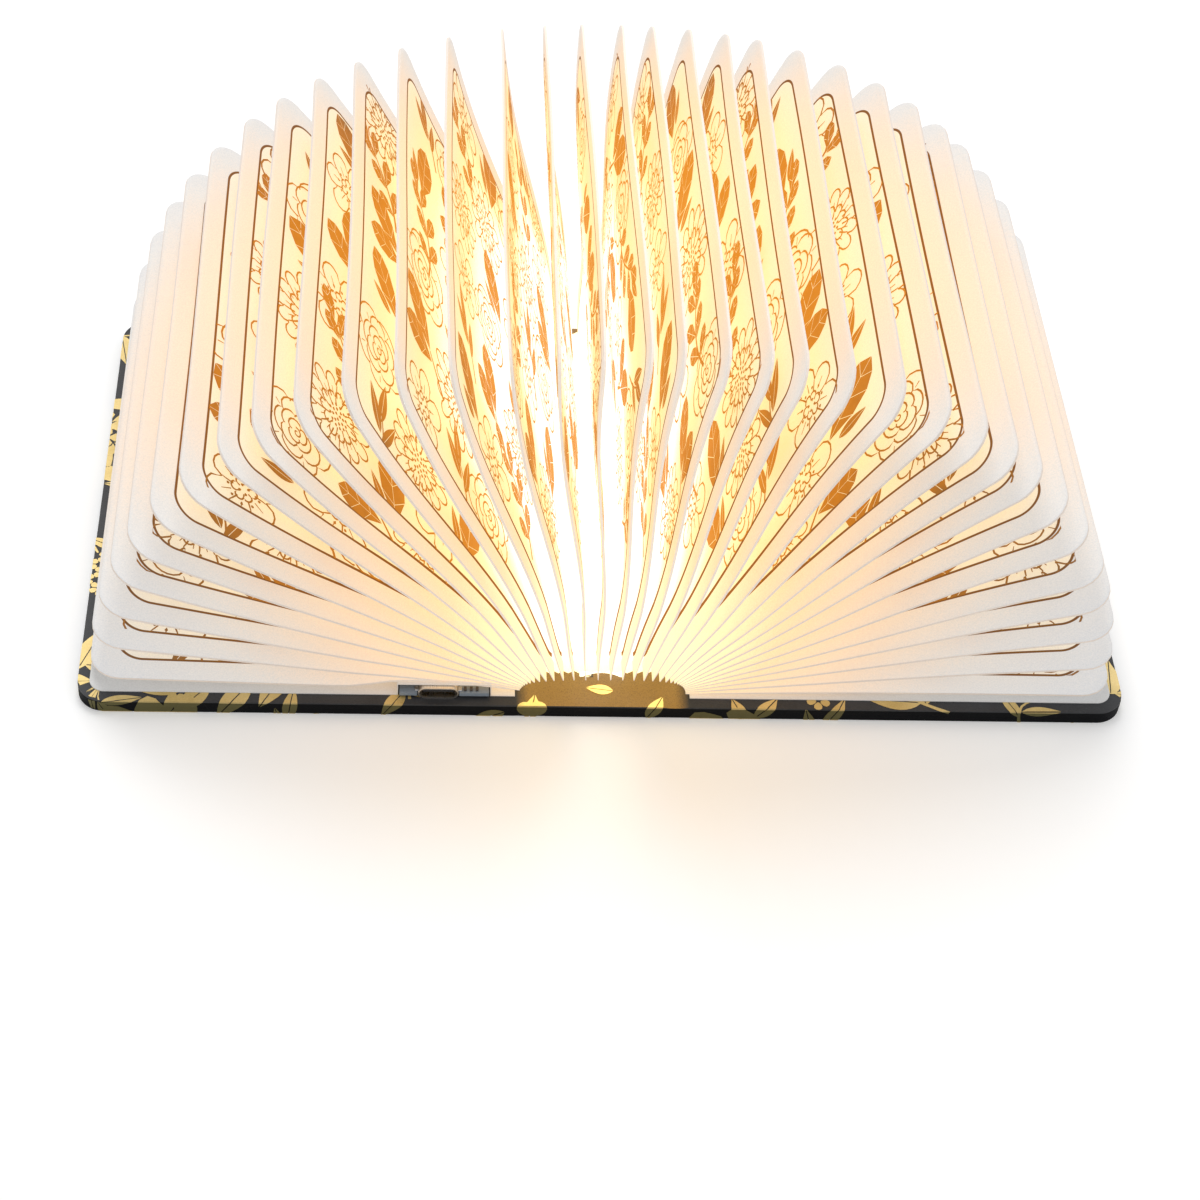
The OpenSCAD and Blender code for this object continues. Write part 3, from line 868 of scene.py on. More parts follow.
@dataclass
class Herbarium:
    """Leaves, petals and flowers, each cut once and then used many times."""

    line: float = 0.5

    def leaf(self, length: float, width: float, veins: int, gap: float, slant: float = 0.16) -> Stencil:
        """A leaf in panels between its veins.

        Args:
            length: Stalk end to tip.
            width: Across the middle.
            veins: Panels on each side.
            gap: Bare width along each vein.
            slant: Share of the length by which the veins lean forward.

        Returns:
            The pattern, with its stalk end at the origin.
        """
        obj = Bench.grid(veins, 2)
        co = Bench.corners(obj)
        a, b = (co[:, 0] + 1) / 2, co[:, 1]
        half = np.maximum(width / 2 * np.sin(math.pi * a ** 0.82) ** 0.85, 0.02 * width)
        lean = slant * length * np.abs(b) * np.sin(math.pi * a)
        Bench.shape(obj, np.stack([length * a + lean * 0.6, b * half, 0 * a], 1))
        Bench.edit()
        bpy.ops.mesh.inset(thickness=gap / 2, use_individual=True)
        bpy.ops.mesh.select_all(action="INVERT")
        bpy.ops.mesh.delete(type="FACE")
        return Stencil.lift(Bench.done())

    def blade(self, length: float, width: float, rib: float, steps: int = 9) -> Stencil:
        """A leaf in two halves with a bare midrib.

        Args:
            length: Stalk end to tip.
            width: Across the middle.
            rib: Width of the midrib.
            steps: Facets along each half.

        Returns:
            The pattern.
        """
        obj = Bench.grid(steps, 1)
        co = Bench.corners(obj)
        a, b = (co[:, 0] + 1) / 2, (co[:, 1] + 1) / 2
        half = width / 2 * np.maximum(np.sin(math.pi * a ** 0.8), 0.0) ** 0.9
        y = rib / 2 + b * np.maximum(half - rib / 2, 0.02)
        Bench.shape(obj, np.stack([length * a, y, 0 * a], 1))
        upper = Stencil.lift(obj)
        return Stencil.joined([upper, upper.moved(flip=True)])

    def petal(self, length: float, width: float, hollow: bool = True, sides: int = 14,
              blunt: float = 0.45) -> Stencil:
        """A petal, as a line or filled.

        Args:
            length: Base to tip.
            width: Across the widest part.
            hollow: Whether only its outline is kept.
            sides: Facets round it.
            blunt: How much wider its outer half is.

        Returns:
            The pattern, with its base at the origin.
        """
        Bench.clear()
        bpy.ops.mesh.primitive_circle_add(vertices=sides, radius=1, fill_type="NGON")
        obj = bpy.context.object
        co = Bench.corners(obj)
        a = (co[:, 0] + 1) / 2
        Bench.shape(obj, np.stack([length * a, width / 2 * co[:, 1] * (1 - blunt + 2 * blunt * a), 0 * a], 1))
        if hollow:
            Bench.edit()
            bpy.ops.mesh.inset(thickness=self.line)
            bpy.ops.mesh.delete(type="FACE")
            Bench.done()
        return Stencil.lift(obj)

    def stem(self, path: Callable[[float], tuple[float, float]], width: float, steps: int = 10,
             taper: float = 0.55) -> Stencil:
        """A stem along a curve, thinner towards its end.

        Args:
            path: Place on the curve for a share from 0 to 1.
            width: Width at the start.
            steps: Facets along it.
            taper: Share of the width lost at the end.

        Returns:
            The pattern.
        """
        obj = Bench.grid(steps, 1)
        co = Bench.corners(obj)
        places = []
        for x, y, _ in co:
            t = (x + 1) / 2
            here, ahead = path(t), path(t + 0.01)
            dx, dy = ahead[0] - here[0], ahead[1] - here[1]
            size = math.hypot(dx, dy) or 1.0
            half = width / 2 * (1.0 - taper * t) * y
            places.append((here[0] - dy / size * half, here[1] + dx / size * half, 0.0))
        Bench.shape(obj, np.array(places))
        return Stencil.lift(obj)

    def wreath(self, part: Stencil, count: int, radius: float, start: float = 0.0) -> Stencil:
        """Copies of a part all round a centre.

        Args:
            part: The part, pointing along X from its origin.
            count: How many.
            radius: Distance of their origins from the centre.
            start: Turn of the first in degrees.

        Returns:
            The pattern.
        """
        turns = [start + 360 * k / count for k in range(count)]
        return Stencil.joined([part.moved(radius * math.cos(math.radians(t)), radius * math.sin(math.radians(t)), t)
                               for t in turns])

    def ray(self, angle: float, low: float, high: float, width: float, bend: float = 0.0) -> Stencil:
        """A line outwards from a centre.

        Args:
            angle: Its direction in radians.
            low: Distance of its inner end.
            high: Distance of its outer end.
            width: Its width.
            bend: Turn of its outer end in radians.

        Returns:
            The pattern.
        """
        def path(t: float) -> tuple[float, float]:
            """Place on the line."""
            r, a = low + (high - low) * t, angle + bend * t * t
            return (r * math.cos(a), r * math.sin(a))
        return self.stem(path, width, 3, 0.4)

    def rosette(self, petals: int, size: float, waist: float, veins: int = 2, inner: float = 0.28,
                turn: float = 0.0) -> Stencil:
        """Line drawing of one ring of petals: their scalloped edge, the lines between them and their veins.

        Args:
            petals: Number of petals.
            size: Distance of the petals' tips from the centre.
            waist: Share of the size at which two petals meet.
            veins: Short lines on each petal.
            inner: Share of the size at which the lines start.
            turn: Turn of the first petal in radians.

        Returns:
            The pattern.
        """
        wide = 2 * math.pi / petals

        def edge(t: float) -> tuple[float, float]:
            """Place on the scalloped edge.

            Args:
                t: Share of the way round.

            Returns:
                X and Y.
            """
            a = 2 * math.pi * t
            share = (a / wide) % 1.0
            own = 1.0 + 0.07 * math.sin(2.3 * math.floor(a / wide) + petals)
            r = size * (waist + (own - waist) * math.sin(math.pi * share) ** 0.6)
            return (r * math.cos(a + turn), r * math.sin(a + turn))
        parts = [self.stem(edge, self.line, 7 * petals, 0.0)]
        for k in range(petals):
            parts.append(self.ray(k * wide + turn, inner * size, waist * size, self.line, 0.04))
            for vein in range(veins):
                lean = (vein + 1) / (veins + 1)
                parts.append(self.ray((k + lean) * wide + turn, (inner + 0.08) * size, (0.52 + 0.2 * waist) * size,
                                      0.6 * self.line, 0.1 * (lean - 0.5)))
        return Stencil.joined(parts)

    def blossom(self) -> Stencil:
        """Line drawing of an open flower with six petals, 21 mm across.

        Returns:
            The pattern.
        """
        bead = self.petal(0.9, 0.8, hollow=False, sides=6)
        return Stencil.joined([self.rosette(6, 10.5, 0.58, 1), self.rosette(6, 3.4, 0.7, 0, 0.4, 0.4),
                               self.wreath(bead, 9, 3.9, 10), self.wreath(bead, 4, 0.8)])

    def daisy(self) -> Stencil:
        """Line drawing of a many-petalled flower with a dark heart, 23 mm across.

        Returns:
            The pattern.
        """
        bead = self.petal(0.95, 0.85, hollow=False, sides=6)
        return Stencil.joined([self.rosette(14, 11.5, 0.74, 1, 0.42), self.rosette(11, 6.6, 0.74, 0, 0.5, 0.2),
                               self.wreath(bead, 12, 2.5, 12), self.wreath(bead, 8, 1.4), self.wreath(bead, 3, 0.3)])

    def rose(self) -> Stencil:
        """Line drawing of a rose, rings of petals that cup each other, 22 mm across.

        Returns:
            The pattern.
        """
        rings = [self.rosette(5, 11.0, 0.80, 1, 0.76), self.rosette(5, 8.2, 0.78, 0, 0.72, 0.6).moved(0.4, 0.2),
                 self.rosette(4, 5.7, 0.74, 0, 0.66, 0.2).moved(0.6, -0.2), self.rosette(3, 3.4, 0.7, 0, 0.5, 0.9)]
        heart = self.stem(lambda t: (1.5 * (1 - 0.8 * t) * math.cos(7 * t), 1.5 * (1 - 0.8 * t) * math.sin(7 * t)),
                          self.line, 14, 0.3)
        return Stencil.joined([*rings, heart])

    def bud(self) -> Stencil:
        """Line drawing of a bud on a leafy calyx, 13 mm long.

        Returns:
            The pattern.
        """
        cup = self.petal(9.0, 5.6, blunt=-0.15)
        heart = self.petal(6.0, 2.6, blunt=-0.1)
        sepal = self.blade(5.0, 1.9, 0.0, 5)
        return Stencil.joined([cup.moved(2.5), heart.moved(4.0, 0.6, 8), sepal.moved(0, 0, 28), sepal.moved(0, 0, -28),
                               sepal.moved(-1.5, 0, 0, 0.8)])

    def spray(self, leaf: Stencil, span: float, pairs: int, width: float = 0.9) -> Stencil:
        """A curved stem with leaves on both sides.

        Args:
            leaf: The leaf.
            span: Length of the stem.
            pairs: Number of leaf pairs.
            width: Width of the stem.

        Returns:
            The pattern.
        """
        def path(t: float) -> tuple[float, float]:
            """Place on the stem."""
            return (span * t, 0.16 * span * math.sin(math.pi * t) * (1 - 0.4 * t))
        parts = [self.stem(path, width)]
        for k in range(pairs):
            t = (k + 0.7) / (pairs + 0.2)
            x, y = path(t)
            size = 1.0 - 0.35 * abs(t - 0.45)
            parts.append(leaf.moved(x, y, 48 - 20 * t, size))
            parts.append(leaf.moved(x - 0.04 * span, y - 0.3, -44 + 12 * t, 0.92 * size, True))
        x, y = path(1.0)
        parts.append(leaf.moved(x, y, -12, 0.95))
        return Stencil.joined(parts)

    def filled_rose(self, rings: Sequence[tuple[int, float, float]], gap: float) -> Stencil:
        """A rose of filled petals with bare lines between them.

        Args:
            rings: Petals, inner radius and outer radius of each ring.
            gap: Width of the bare lines.

        Returns:
            The pattern.
        """
        parts = []
        for turn, (count, low, high) in enumerate(rings):
            for k in range(count):
                obj = Bench.grid(5, 2)
                co = Bench.corners(obj)
                a, b = co[:, 0], (co[:, 1] + 1) / 2
                wide = math.pi / count
                middle = 2 * wide * k + 0.9 * turn
                edge = low + (high - low) * (0.25 * (1 - a * a) + b * (0.75 + 0.25 * (1 - a * a)))
                edge = edge + 0.18 * (high - low) * np.sin(3 * a + k + turn) * b
                swing = np.clip(wide - gap / 2 / np.maximum(edge, 0.8), 0.05, None)
                angle = middle + a * swing * (1 - 0.10 * b) - 0.12 * b
                radius = np.maximum(edge - gap * (1 - b), 0.2)
                Bench.shape(obj, np.stack([radius * np.cos(angle), radius * np.sin(angle), 0 * a], 1))
                part = Stencil.lift(obj)
                parts.append(Stencil(part.points, [face[::-1] for face in part.faces]))
        return Stencil.joined(parts)

    def berry_head(self) -> Stencil:
        """A round head of small florets with bare lines between their petals, 17 mm across.

        Returns:
            The pattern.
        """
        lobe = self.petal(2.1, 1.75, hollow=False, sides=8, blunt=0.3)
        eye = self.petal(0.9, 0.9, hollow=False, sides=6, blunt=0.0)
        floret = Stencil.joined([self.wreath(lobe, 6, 0.75), eye.moved(-0.45, layer=0.005)])
        return Stencil.joined([floret, self.wreath(floret, 6, 5.6)])

    def filled_bud(self) -> Stencil:
        """A closed bud of filled petals over its calyx, 15 mm long.

        Returns:
            The pattern.
        """
        middle = self.petal(9.0, 3.4, hollow=False, blunt=-0.2)
        side = self.petal(8.2, 2.8, hollow=False, blunt=-0.2)
        sepal = self.blade(5.5, 2.0, 0.25, 5)
        return Stencil.joined([middle.moved(3.2), side.moved(3.0, 1.6, 16), side.moved(3.0, -1.6, -16),
                               sepal.moved(0, 0.2, 34), sepal.moved(0, -0.2, -34)])


# ---------------------------------------------------------------- the fan of pages


@dataclass(frozen=True)
class FanLaw:
    """Where each page stands in the open fan: the same law as the part's source, in millimetres."""

    leaves: int = 34
    tilt_left: float = 88.0
    tilt_right: float = 87.0
    crowding: float = 1.26
    lean: float = 2.9
    lean_right: float = 9.8
    arch_w: float = 18.3
    arch_top: float = 8.3
    arch_foot: float = 4.1
    gather: float = 2.4
    skew: float = 0.065

    def place(self, page: int) -> float:
        """Place of a page in the fan, from -1 at the left to 1 at the right."""
        return (2 * page - self.leaves - 1) / (self.leaves - 1)

    def tilt(self, page: int) -> float:
        """Tilt of a page from upright.

        Args:
            page: Number of the page.

        Returns:
            The angle in radians, below 0 to the left.
        """
        u = self.place(page)
        side = -self.tilt_left if u < 0 else self.tilt_right
        return math.radians(side * abs(u) ** self.crowding + (self.lean + self.lean_right * u) * (1 - u * u))

    def root(self, page: int) -> tuple[float, float]:
        """Spine edge of a page.

        Args:
            page: Number of the page.

        Returns:
            Its X and Z.
        """
        u = self.place(page)
        v = self.gather * (u + self.skew * (1 - u * u))
        return (self.arch_w * math.tanh(v) / math.tanh(self.gather),
                self.arch_foot + (self.arch_top - self.arch_foot) * (1 - u * u))


@dataclass
class PagePrint:
    """The floral prints of the pages: a few drawings that the pages share."""

    herbs: Herbarium
    line: FrameLine = FrameLine()
    start: float = 31.0
    overhang: float = 6.0
    pitch: float = 18.6
    scatter: tuple[float, float] = (1.5, 2.2)
    turn: tuple[float, float] = (56.0, 34.0)
    scale: tuple[float, float] = (0.98, 0.08)
    layer: float = 0.004
    drawings: list[Stencil] = field(default_factory=list)

    def motifs(self) -> dict[str, Stencil]:
        """The motifs by their letter, each growing along X.

        Returns:
            The motifs.
        """
        h = self.herbs
        veined = h.leaf(17.5, 9.0, 4, 0.14, 0.3)
        small = h.leaf(9.0, 4.8, 3, 0.14, 0.3)
        slim = h.blade(12.0, 3.6, 0.16, 8)
        return {
            "B": h.blossom(), "D": h.daisy(), "R": h.rose(),
            "U": Stencil.joined([h.bud().moved(1), h.stem(lambda t: (-13 + 13 * t, 2.2 * math.sin(3 * t)), 0.9, 6),
                                 slim.moved(-9, 1.2, 34, 0.9), slim.moved(-10, 0.5, -30, 0.8, True)]),
            "L": Stencil.joined([veined.moved(-6, 0.8, 16), veined.moved(-8, -1.0, -24, 0.85, True),
                                 h.stem(lambda t: (-16 + 10 * t, -2.5 + 3 * t), 1.0, 5)]),
            "V": Stencil.joined([veined.moved(-10.0, 1.5, 8, 1.1), slim.moved(-8.0, -1.5, -20, 0.8, True)]),
            "S": h.spray(small, 22.0, 3).moved(-12, 0),
            "T": Stencil.joined([slim.moved(-3, 0, 12), slim.moved(-6, 0, -22, 1.0, True), slim.moved(-9, 0.6, 34, 0.9),
                                 h.stem(lambda t: (-15 + 16 * t, 1.2 * math.sin(3 * t)), 0.8, 6)]),
        }

    def draw(self) -> None:
        """Lay out the drawings, flowers and greenery by turns, and trim them at the printed line."""
        plans = (("BVD", "LRS", "DTB", "VDL", "RSB", "TBV"), ("VDT", "BSR", "LBV", "DTL", "VRS", "BLD"),
                 ("RTB", "SDL", "BVR", "TBS", "DLV", "SRT"), ("SBV", "DLT", "VRB", "BVD", "TDS", "RVB"),
                 ("DLR", "VBS", "RTD", "LDV", "BSR", "DTV"))
        kit = self.motifs()
        c = self.line
        low, high, half = self.start, c.reach - c.inset, c.half - c.inset
        edges = [("x", low - self.overhang, -1), ("x", high, 1), ("y", -half, -1), ("y", half, 1)]
        for k, plan in enumerate(plans):
            parts = []
            for row, letters in enumerate(plan):
                size = self.scale[0] + self.scale[1] * math.sin(row + 3 * k)
                for column, letter in enumerate(letters):
                    x = self.scatter[0] * math.sin(2.3 * row + 1.7 * column + k)
                    y = self.scatter[1] * math.cos(1.9 * row + 2.9 * column + 2 * k)
                    turn = self.turn[0] + self.turn[1] * math.sin(1.3 * row + 2.7 * column + 1.9 * k)
                    parts.append(kit[letter].moved(low + (high - low) * (column + 0.5) / len(letters) + x,
                                                   (row - (len(plan) - 1) / 2) * self.pitch + y, turn, size,
                                                   layer=self.layer * (len(parts) % 5)))
            self.drawings.append(Stencil.joined(parts).cut(edges))
        log.info("page drawings: %s", [len(d.faces) for d in self.drawings])


@dataclass(frozen=True)
class PageLight:
    """How the light of the strip fades over a sheet, as shares of the full level."""

    base: float = 0.19
    strength: float = 1.01
    fade: float = 0.72
    low_fade: float = 1.5
    low_loss: float = 0.45
    far_loss: float = 0.38
    near_loss: float = 0.2
    root_gain: float = 0.9
    root_reach: float = 30.0
    rim_loss: float = 0.88
    right_loss: float = 0.15

    def levels(self, u: float, s: np.ndarray, r: np.ndarray, q: np.ndarray) -> tuple[np.ndarray, np.ndarray]:
        """Levels over a page.

        Args:
            u: Place of the page in the fan, from -1 to 1.
            s: Distances from the spine edge in millimetres.
            r: The same as shares of the page's width.
            q: Places along the spine, from -1 at the near edge to 1 at the far edge.

        Returns:
            The levels inside the printed line, and those of the margins.
        """
        light = (self.base + self.strength * np.exp(-(r ** 1.6) * (self.fade + self.low_fade * u * u)))
        light = light * (1.0 - self.low_loss * u * u)
        far, near = np.clip(q, 0, 1), np.clip(-q, 0, 1)
        inside = light * (1 - self.far_loss * far ** 1.5 * r) * (1 - self.near_loss * near ** 3 * r)
        inside = inside * (1 + self.root_gain * np.exp(-(s / self.root_reach) ** 2) * (1 - u * u))
        margin = light * (1 - self.rim_loss * np.abs(q) ** 2.2 * r ** 0.8) * (1 - self.right_loss * max(u, 0) * r)
        return np.clip(inside, 0, 2), np.clip(margin, 0, 1)


@dataclass
class PageFan:
    """Thirty-four page pockets, each of two sheets, with their prints; sizes in millimetres.

    A page is drawn in its own plane: s runs from its spine edge outwards, v along the spine, and a third distance
    stands out of it. The pocket is glued round its rim and puffed in the middle, bows and ripples a little, and the
    pages named in curls bend at their fore edge. The lowest left pages rise over the hump of the control unit.
    """

    law: FanLaw
    prints: PagePrint
    light: PageLight = PageLight()
    reach: float = 94.0
    half: float = 59.3
    corner: float = 7.0
    corner_rows: int = 7
    straight_rows: int = 25
    thickness: float = 0.5
    root_share: float = 0.4
    root_taper: float = 12.0
    glue: float = 5.0
    puff: float = 1.1
    bow: float = 1.0
    ripple: float = 0.35
    stiff_share: float = 0.3
    tip: float = 0.15
    tip_reach: float = 4.0
    ink_lift: float = 0.05
    folded: float = 0.12
    folded_curl: float = 0.05
    hump: tuple[float, float, float] = (17.5, -53.0, 7.3)
    hump_pages: int = 3
    hump_gap: tuple[float, float] = (0.25, 0.15)
    hump_reach: float = 15.5
    hump_back: float = 10.0
    hump_soft: float = 3.0
    columns: tuple[float, ...] = (0, 1.5, 3, 4.5, 6, 8.5, 11.5, 15, 19, 23, 27, 31, 35.5, 40, 44.5, 49, 53.5, 58,
                                  62.5, 67, 71.5, 76, 80.5, 85, 89, 91.3, 93, 94)
    curls: dict[int, float] = field(default_factory=lambda: {
        8: 1.0, 14: 1.6, 15: 1.2, 20: 1.0, 21: 3.2, 22: 2.6, 23: 1.0, 27: 1.0, 29: -1.0, 30: -3.0, 31: -2.6,
        32: -3.4, 33: -3.8, 34: -3.6})

    def rows(self) -> np.ndarray:
        """Places of the rows across a page, close together at its corners.

        Returns:
            The places in millimetres.
        """
        flat = self.half - self.corner
        arc = [flat + self.corner * math.sin(t) for t in np.linspace(0, math.pi / 2, self.corner_rows)[1:]]
        return np.array([-v for v in arc[::-1]] + list(np.linspace(-flat, flat, self.straight_rows)) + arc)

    def blank(self) -> bpy.types.Object:
        """Two sheets joined all round, still flat, as a grid from -1 to 1 with one sheet above the other.

        Returns:
            The blank.
        """
        rows = self.rows()
        obj = Bench.grid(len(self.columns) - 1, len(rows) - 1)
        Bench.edit()
        bpy.ops.mesh.duplicate()
        bpy.ops.transform.translate(value=(0, 0, -1))
        bpy.ops.mesh.flip_normals()
        bpy.ops.mesh.select_mode(type="EDGE")
        bpy.ops.mesh.select_all(action="DESELECT")
        bpy.ops.mesh.select_non_manifold(extend=False)
        bpy.ops.mesh.bridge_edge_loops()
        bpy.ops.mesh.select_all(action="SELECT")
        bpy.ops.mesh.normals_make_consistent(inside=False)
        Bench.done()
        return obj

    def pocket(self, s: np.ndarray, v: np.ndarray) -> np.ndarray:
        """Half the height of the pocket: none at its glued margins, most in the middle.

        Args:
            s: Distances from the spine edge.
            v: Places along the spine.

        Returns:
            The heights.
        """
        along = np.clip(s / (self.reach - self.glue), 0, 1)
        across = np.clip(np.abs(v) / (self.half - self.glue), 0, 1)
        return self.puff / 2 * np.sin(math.pi * along) ** 0.8 * (1 - across ** 2.5)

    def rise(self, page: int, s: np.ndarray, v: np.ndarray) -> np.ndarray:
        """How far a page stands out of its plane, towards its upper face.

        Args:
            page: Number of the page.
            s: Distances from its spine edge.
            v: Places along the spine.

        Returns:
            The heights.
        """
        u = self.law.place(page)
        wave = self.ripple * np.sin(0.045 * v + 1.3 * page) * (s / self.reach) ** 1.5
        curve = self.bow * (1 - u * u) * np.sin(2 * math.pi * np.clip(s / self.reach, 0, 1)) * (1 if u < 0 else -1)
        curve = curve * np.clip(s / 20, 0, 1) + self.curls.get(page, 0.0) * (s / self.reach) ** 1.6
        if page > self.hump_pages:
            return wave + curve
        x, y, top = self.hump
        tilt, (_, z) = self.law.tilt(page), self.law.root(page)
        least, spare = self.hump_gap
        need = max(top - z - x * math.cos(tilt), least) + spare
        over = np.exp(-np.abs((s - x) / self.hump_reach) ** 4)
        over = over / (1 + np.exp((v - y - self.hump_back) / self.hump_soft))
        return (wave + curve) * self.stiff_share + need * over

    def solid(self, page: int, s: np.ndarray, v: np.ndarray, side: np.ndarray, lift: np.ndarray) -> np.ndarray:
        """Places in metres on a page's faces.

        Args:
            page: Number of the page.
            s: Distances from the spine edge.
            v: Places along the spine.
            side: 1 on the upper face and -1 on the lower.
            lift: Distances above the face.

        Returns:
            One row of X, Y and Z each.
        """
        tilt, (x0, z0) = self.law.tilt(page), self.law.root(page)
        up = 1.0 if self.law.place(page) < 0 else -1.0
        half = self.thickness / 2 * (self.root_share + (1 - self.root_share) * np.clip(s / self.root_taper, 0, 1))
        off = self.rise(page, s, v) + side * (half + self.pocket(s, v) + lift)
        x = x0 + s * math.sin(tilt) + up * off * math.cos(tilt)
        z = z0 + s * math.cos(tilt) - up * off * math.sin(tilt)
        return np.stack([x, v, z], 1) * MM

    def build(self) -> None:
        """Make every page and let it ride on its body."""
        self.prints.draw()
        obj = self.blank()
        flat = Bench.corners(obj)
        polygons = [tuple(p.vertices) for p in obj.data.polygons]
        rim = [abs(p.normal.z) < 0.5 for p in obj.data.polygons]
        bpy.data.objects.remove(obj)
        rows, columns = self.rows(), np.array(self.columns)
        s = np.interp((flat[:, 0] + 1) / 2 * (len(columns) - 1), np.arange(len(columns)), columns)
        v = np.interp((flat[:, 1] + 1) / 2 * (len(rows) - 1), np.arange(len(rows)), rows)
        side = np.where(flat[:, 2] > -0.5, 1.0, -1.0)
        past = np.clip(np.abs(v) - (self.half - self.corner), 0, self.corner)
        widest = self.reach - self.corner + np.sqrt(self.corner ** 2 - past ** 2)
        s = s * widest / self.reach
        narrow = self.half - self.tip * np.clip(1 - s / self.tip_reach, 0, 1)
        v = np.clip(v, -narrow, narrow)
        for page in range(1, self.law.leaves + 1):
            self.page(page, s, v, side, polygons, rim)
        log.info("page fan: %d pockets", self.law.leaves)

    def page(self, page: int, s: np.ndarray, v: np.ndarray, side: np.ndarray,
             polygons: list[tuple[int, ...]], rim: list[bool]) -> None:
        """Make one page with its prints.

        Args:
            page: Its number.
            s: Distances from the spine edge of the blank's corners.
            v: Their places along the spine.
            side: Their faces.
            polygons: The blank's faces.
            rim: Which of them are cut edges.
        """
        drawing = self.prints.drawings[page % len(self.prints.drawings)]
        sheets = [(s, v, side, polygons, [1 if r else 0 for r in rim], 0 * s)]
        for face in (1, -1):
            other = drawing.moved(flip=True) if face < 0 else drawing
            sheets.append((other.points[:, 0], other.points[:, 1], np.full(len(other.points), float(face)),
                           other.faces, [2] * len(other.faces), self.ink_lift + other.points[:, 2]))
        places, faces, slots, maps = [], [], [], []
        start = 0
        mirror = self.law.place(page) > 0
        for ps, pv, pside, pfaces, pslots, lift in sheets:
            places.append(self.solid(page, ps, pv, pside, lift))
            ink = pslots[0] == 2
            back = (pside[0] > 0) == mirror if ink else mirror
            for face in pfaces:
                moved = tuple(k + start for k in face)
                faces.append(moved[::-1] if back else moved)
            slots += pslots
            inside, margin = self.light.levels(self.law.place(page), ps, ps / self.reach, pv / self.half)
            maps.append(np.stack([inside, margin, ps / 100, pv / 200 + 0.5], 1))
            start += len(ps)
        body = f"page_{page:02d}"
        mesh = bpy.data.meshes.new(body)
        mesh.from_pydata(np.concatenate(places).tolist(), [], faces)
        mesh.polygons.foreach_set("material_index", slots)
        mesh.polygons.foreach_set("use_smooth", [k == 0 for k in slots])
        index = np.empty(len(mesh.loops), dtype=np.int32)
        mesh.loops.foreach_get("vertex_index", index)
        values = np.concatenate(maps)[index]
        for name, pair in (("glow", values[:, :2]), ("sheet", values[:, 2:])):
            places_uv = np.ascontiguousarray(pair, dtype=np.float32).ravel()
            mesh.uv_layers.new(name=name).data.foreach_set("uv", places_uv)
        obj = Bench.paint(Bench.link(f"page_pocket_{page:02d}", mesh), Finish.PAPER, Finish.CUT_EDGE, Finish.INK)
        mesh.update()
        tilt, (x0, z0) = self.law.tilt(page), self.law.root(page)
        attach(obj, body)
        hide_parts(f"leaf_{page:02d}")
        self.folded if self.curls.get(page, 0.0) > -2 else self.folded_curl
        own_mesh(obj)


def trimmed(node: bpy.types.Object, name: str,
            cuts: Sequence[tuple[tuple[int, int, int], float]]) -> bpy.types.Object:
    """A copy of a node's piece, cut off at planes.

    Args:
        node: The node's object, which stays as it is.
        name: Name of the copy.
        cuts: Each the direction of the side that goes, and the plane's distance along it in millimetres.

    Returns:
        The copy.
    """
    Bench.take(Bench.link(name, node.data.copy()))
    Bench.edit()
    bpy.ops.mesh.remove_doubles(threshold=1e-6)
    for along, place in cuts:
        bpy.ops.mesh.select_all(action="SELECT")
        bpy.ops.mesh.bisect(plane_co=tuple(place * MM * a for a in along), plane_no=along, use_fill=True,
                            threshold=1e-7, clear_outer=True)
    return Bench.done()


@dataclass
class FoldStrip:
    """The pleated strip of valley folds, in two halves."""

    keep_left: float = 0.29
    keep_right: float = 0.47
    half: float = 56.1

    def build(self, nodes: dict[str, bpy.types.Object]) -> None:
        """Copy the strip, cut it at the middle and at its ends, and let each half ride on the spine.

        Args:
            nodes: The frame's nodes.
        """
        ends = [((0, 1, 0), self.half), ((0, -1, 0), self.half)]
        for name, side, keep in (("left", 1, self.keep_left), ("right", -1, self.keep_right)):
            obj = trimmed(nodes["valley_folds"], f"valley_folds_{name}", [((side, 0, 0), 0.0), *ends])
            Bench.paint(obj, Finish.FOLDS)
            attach(obj, "spine")
            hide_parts("valley_folds")
            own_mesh(obj)
        log.info("valley folds: two halves")


# ---------------------------------------------------------------- the case


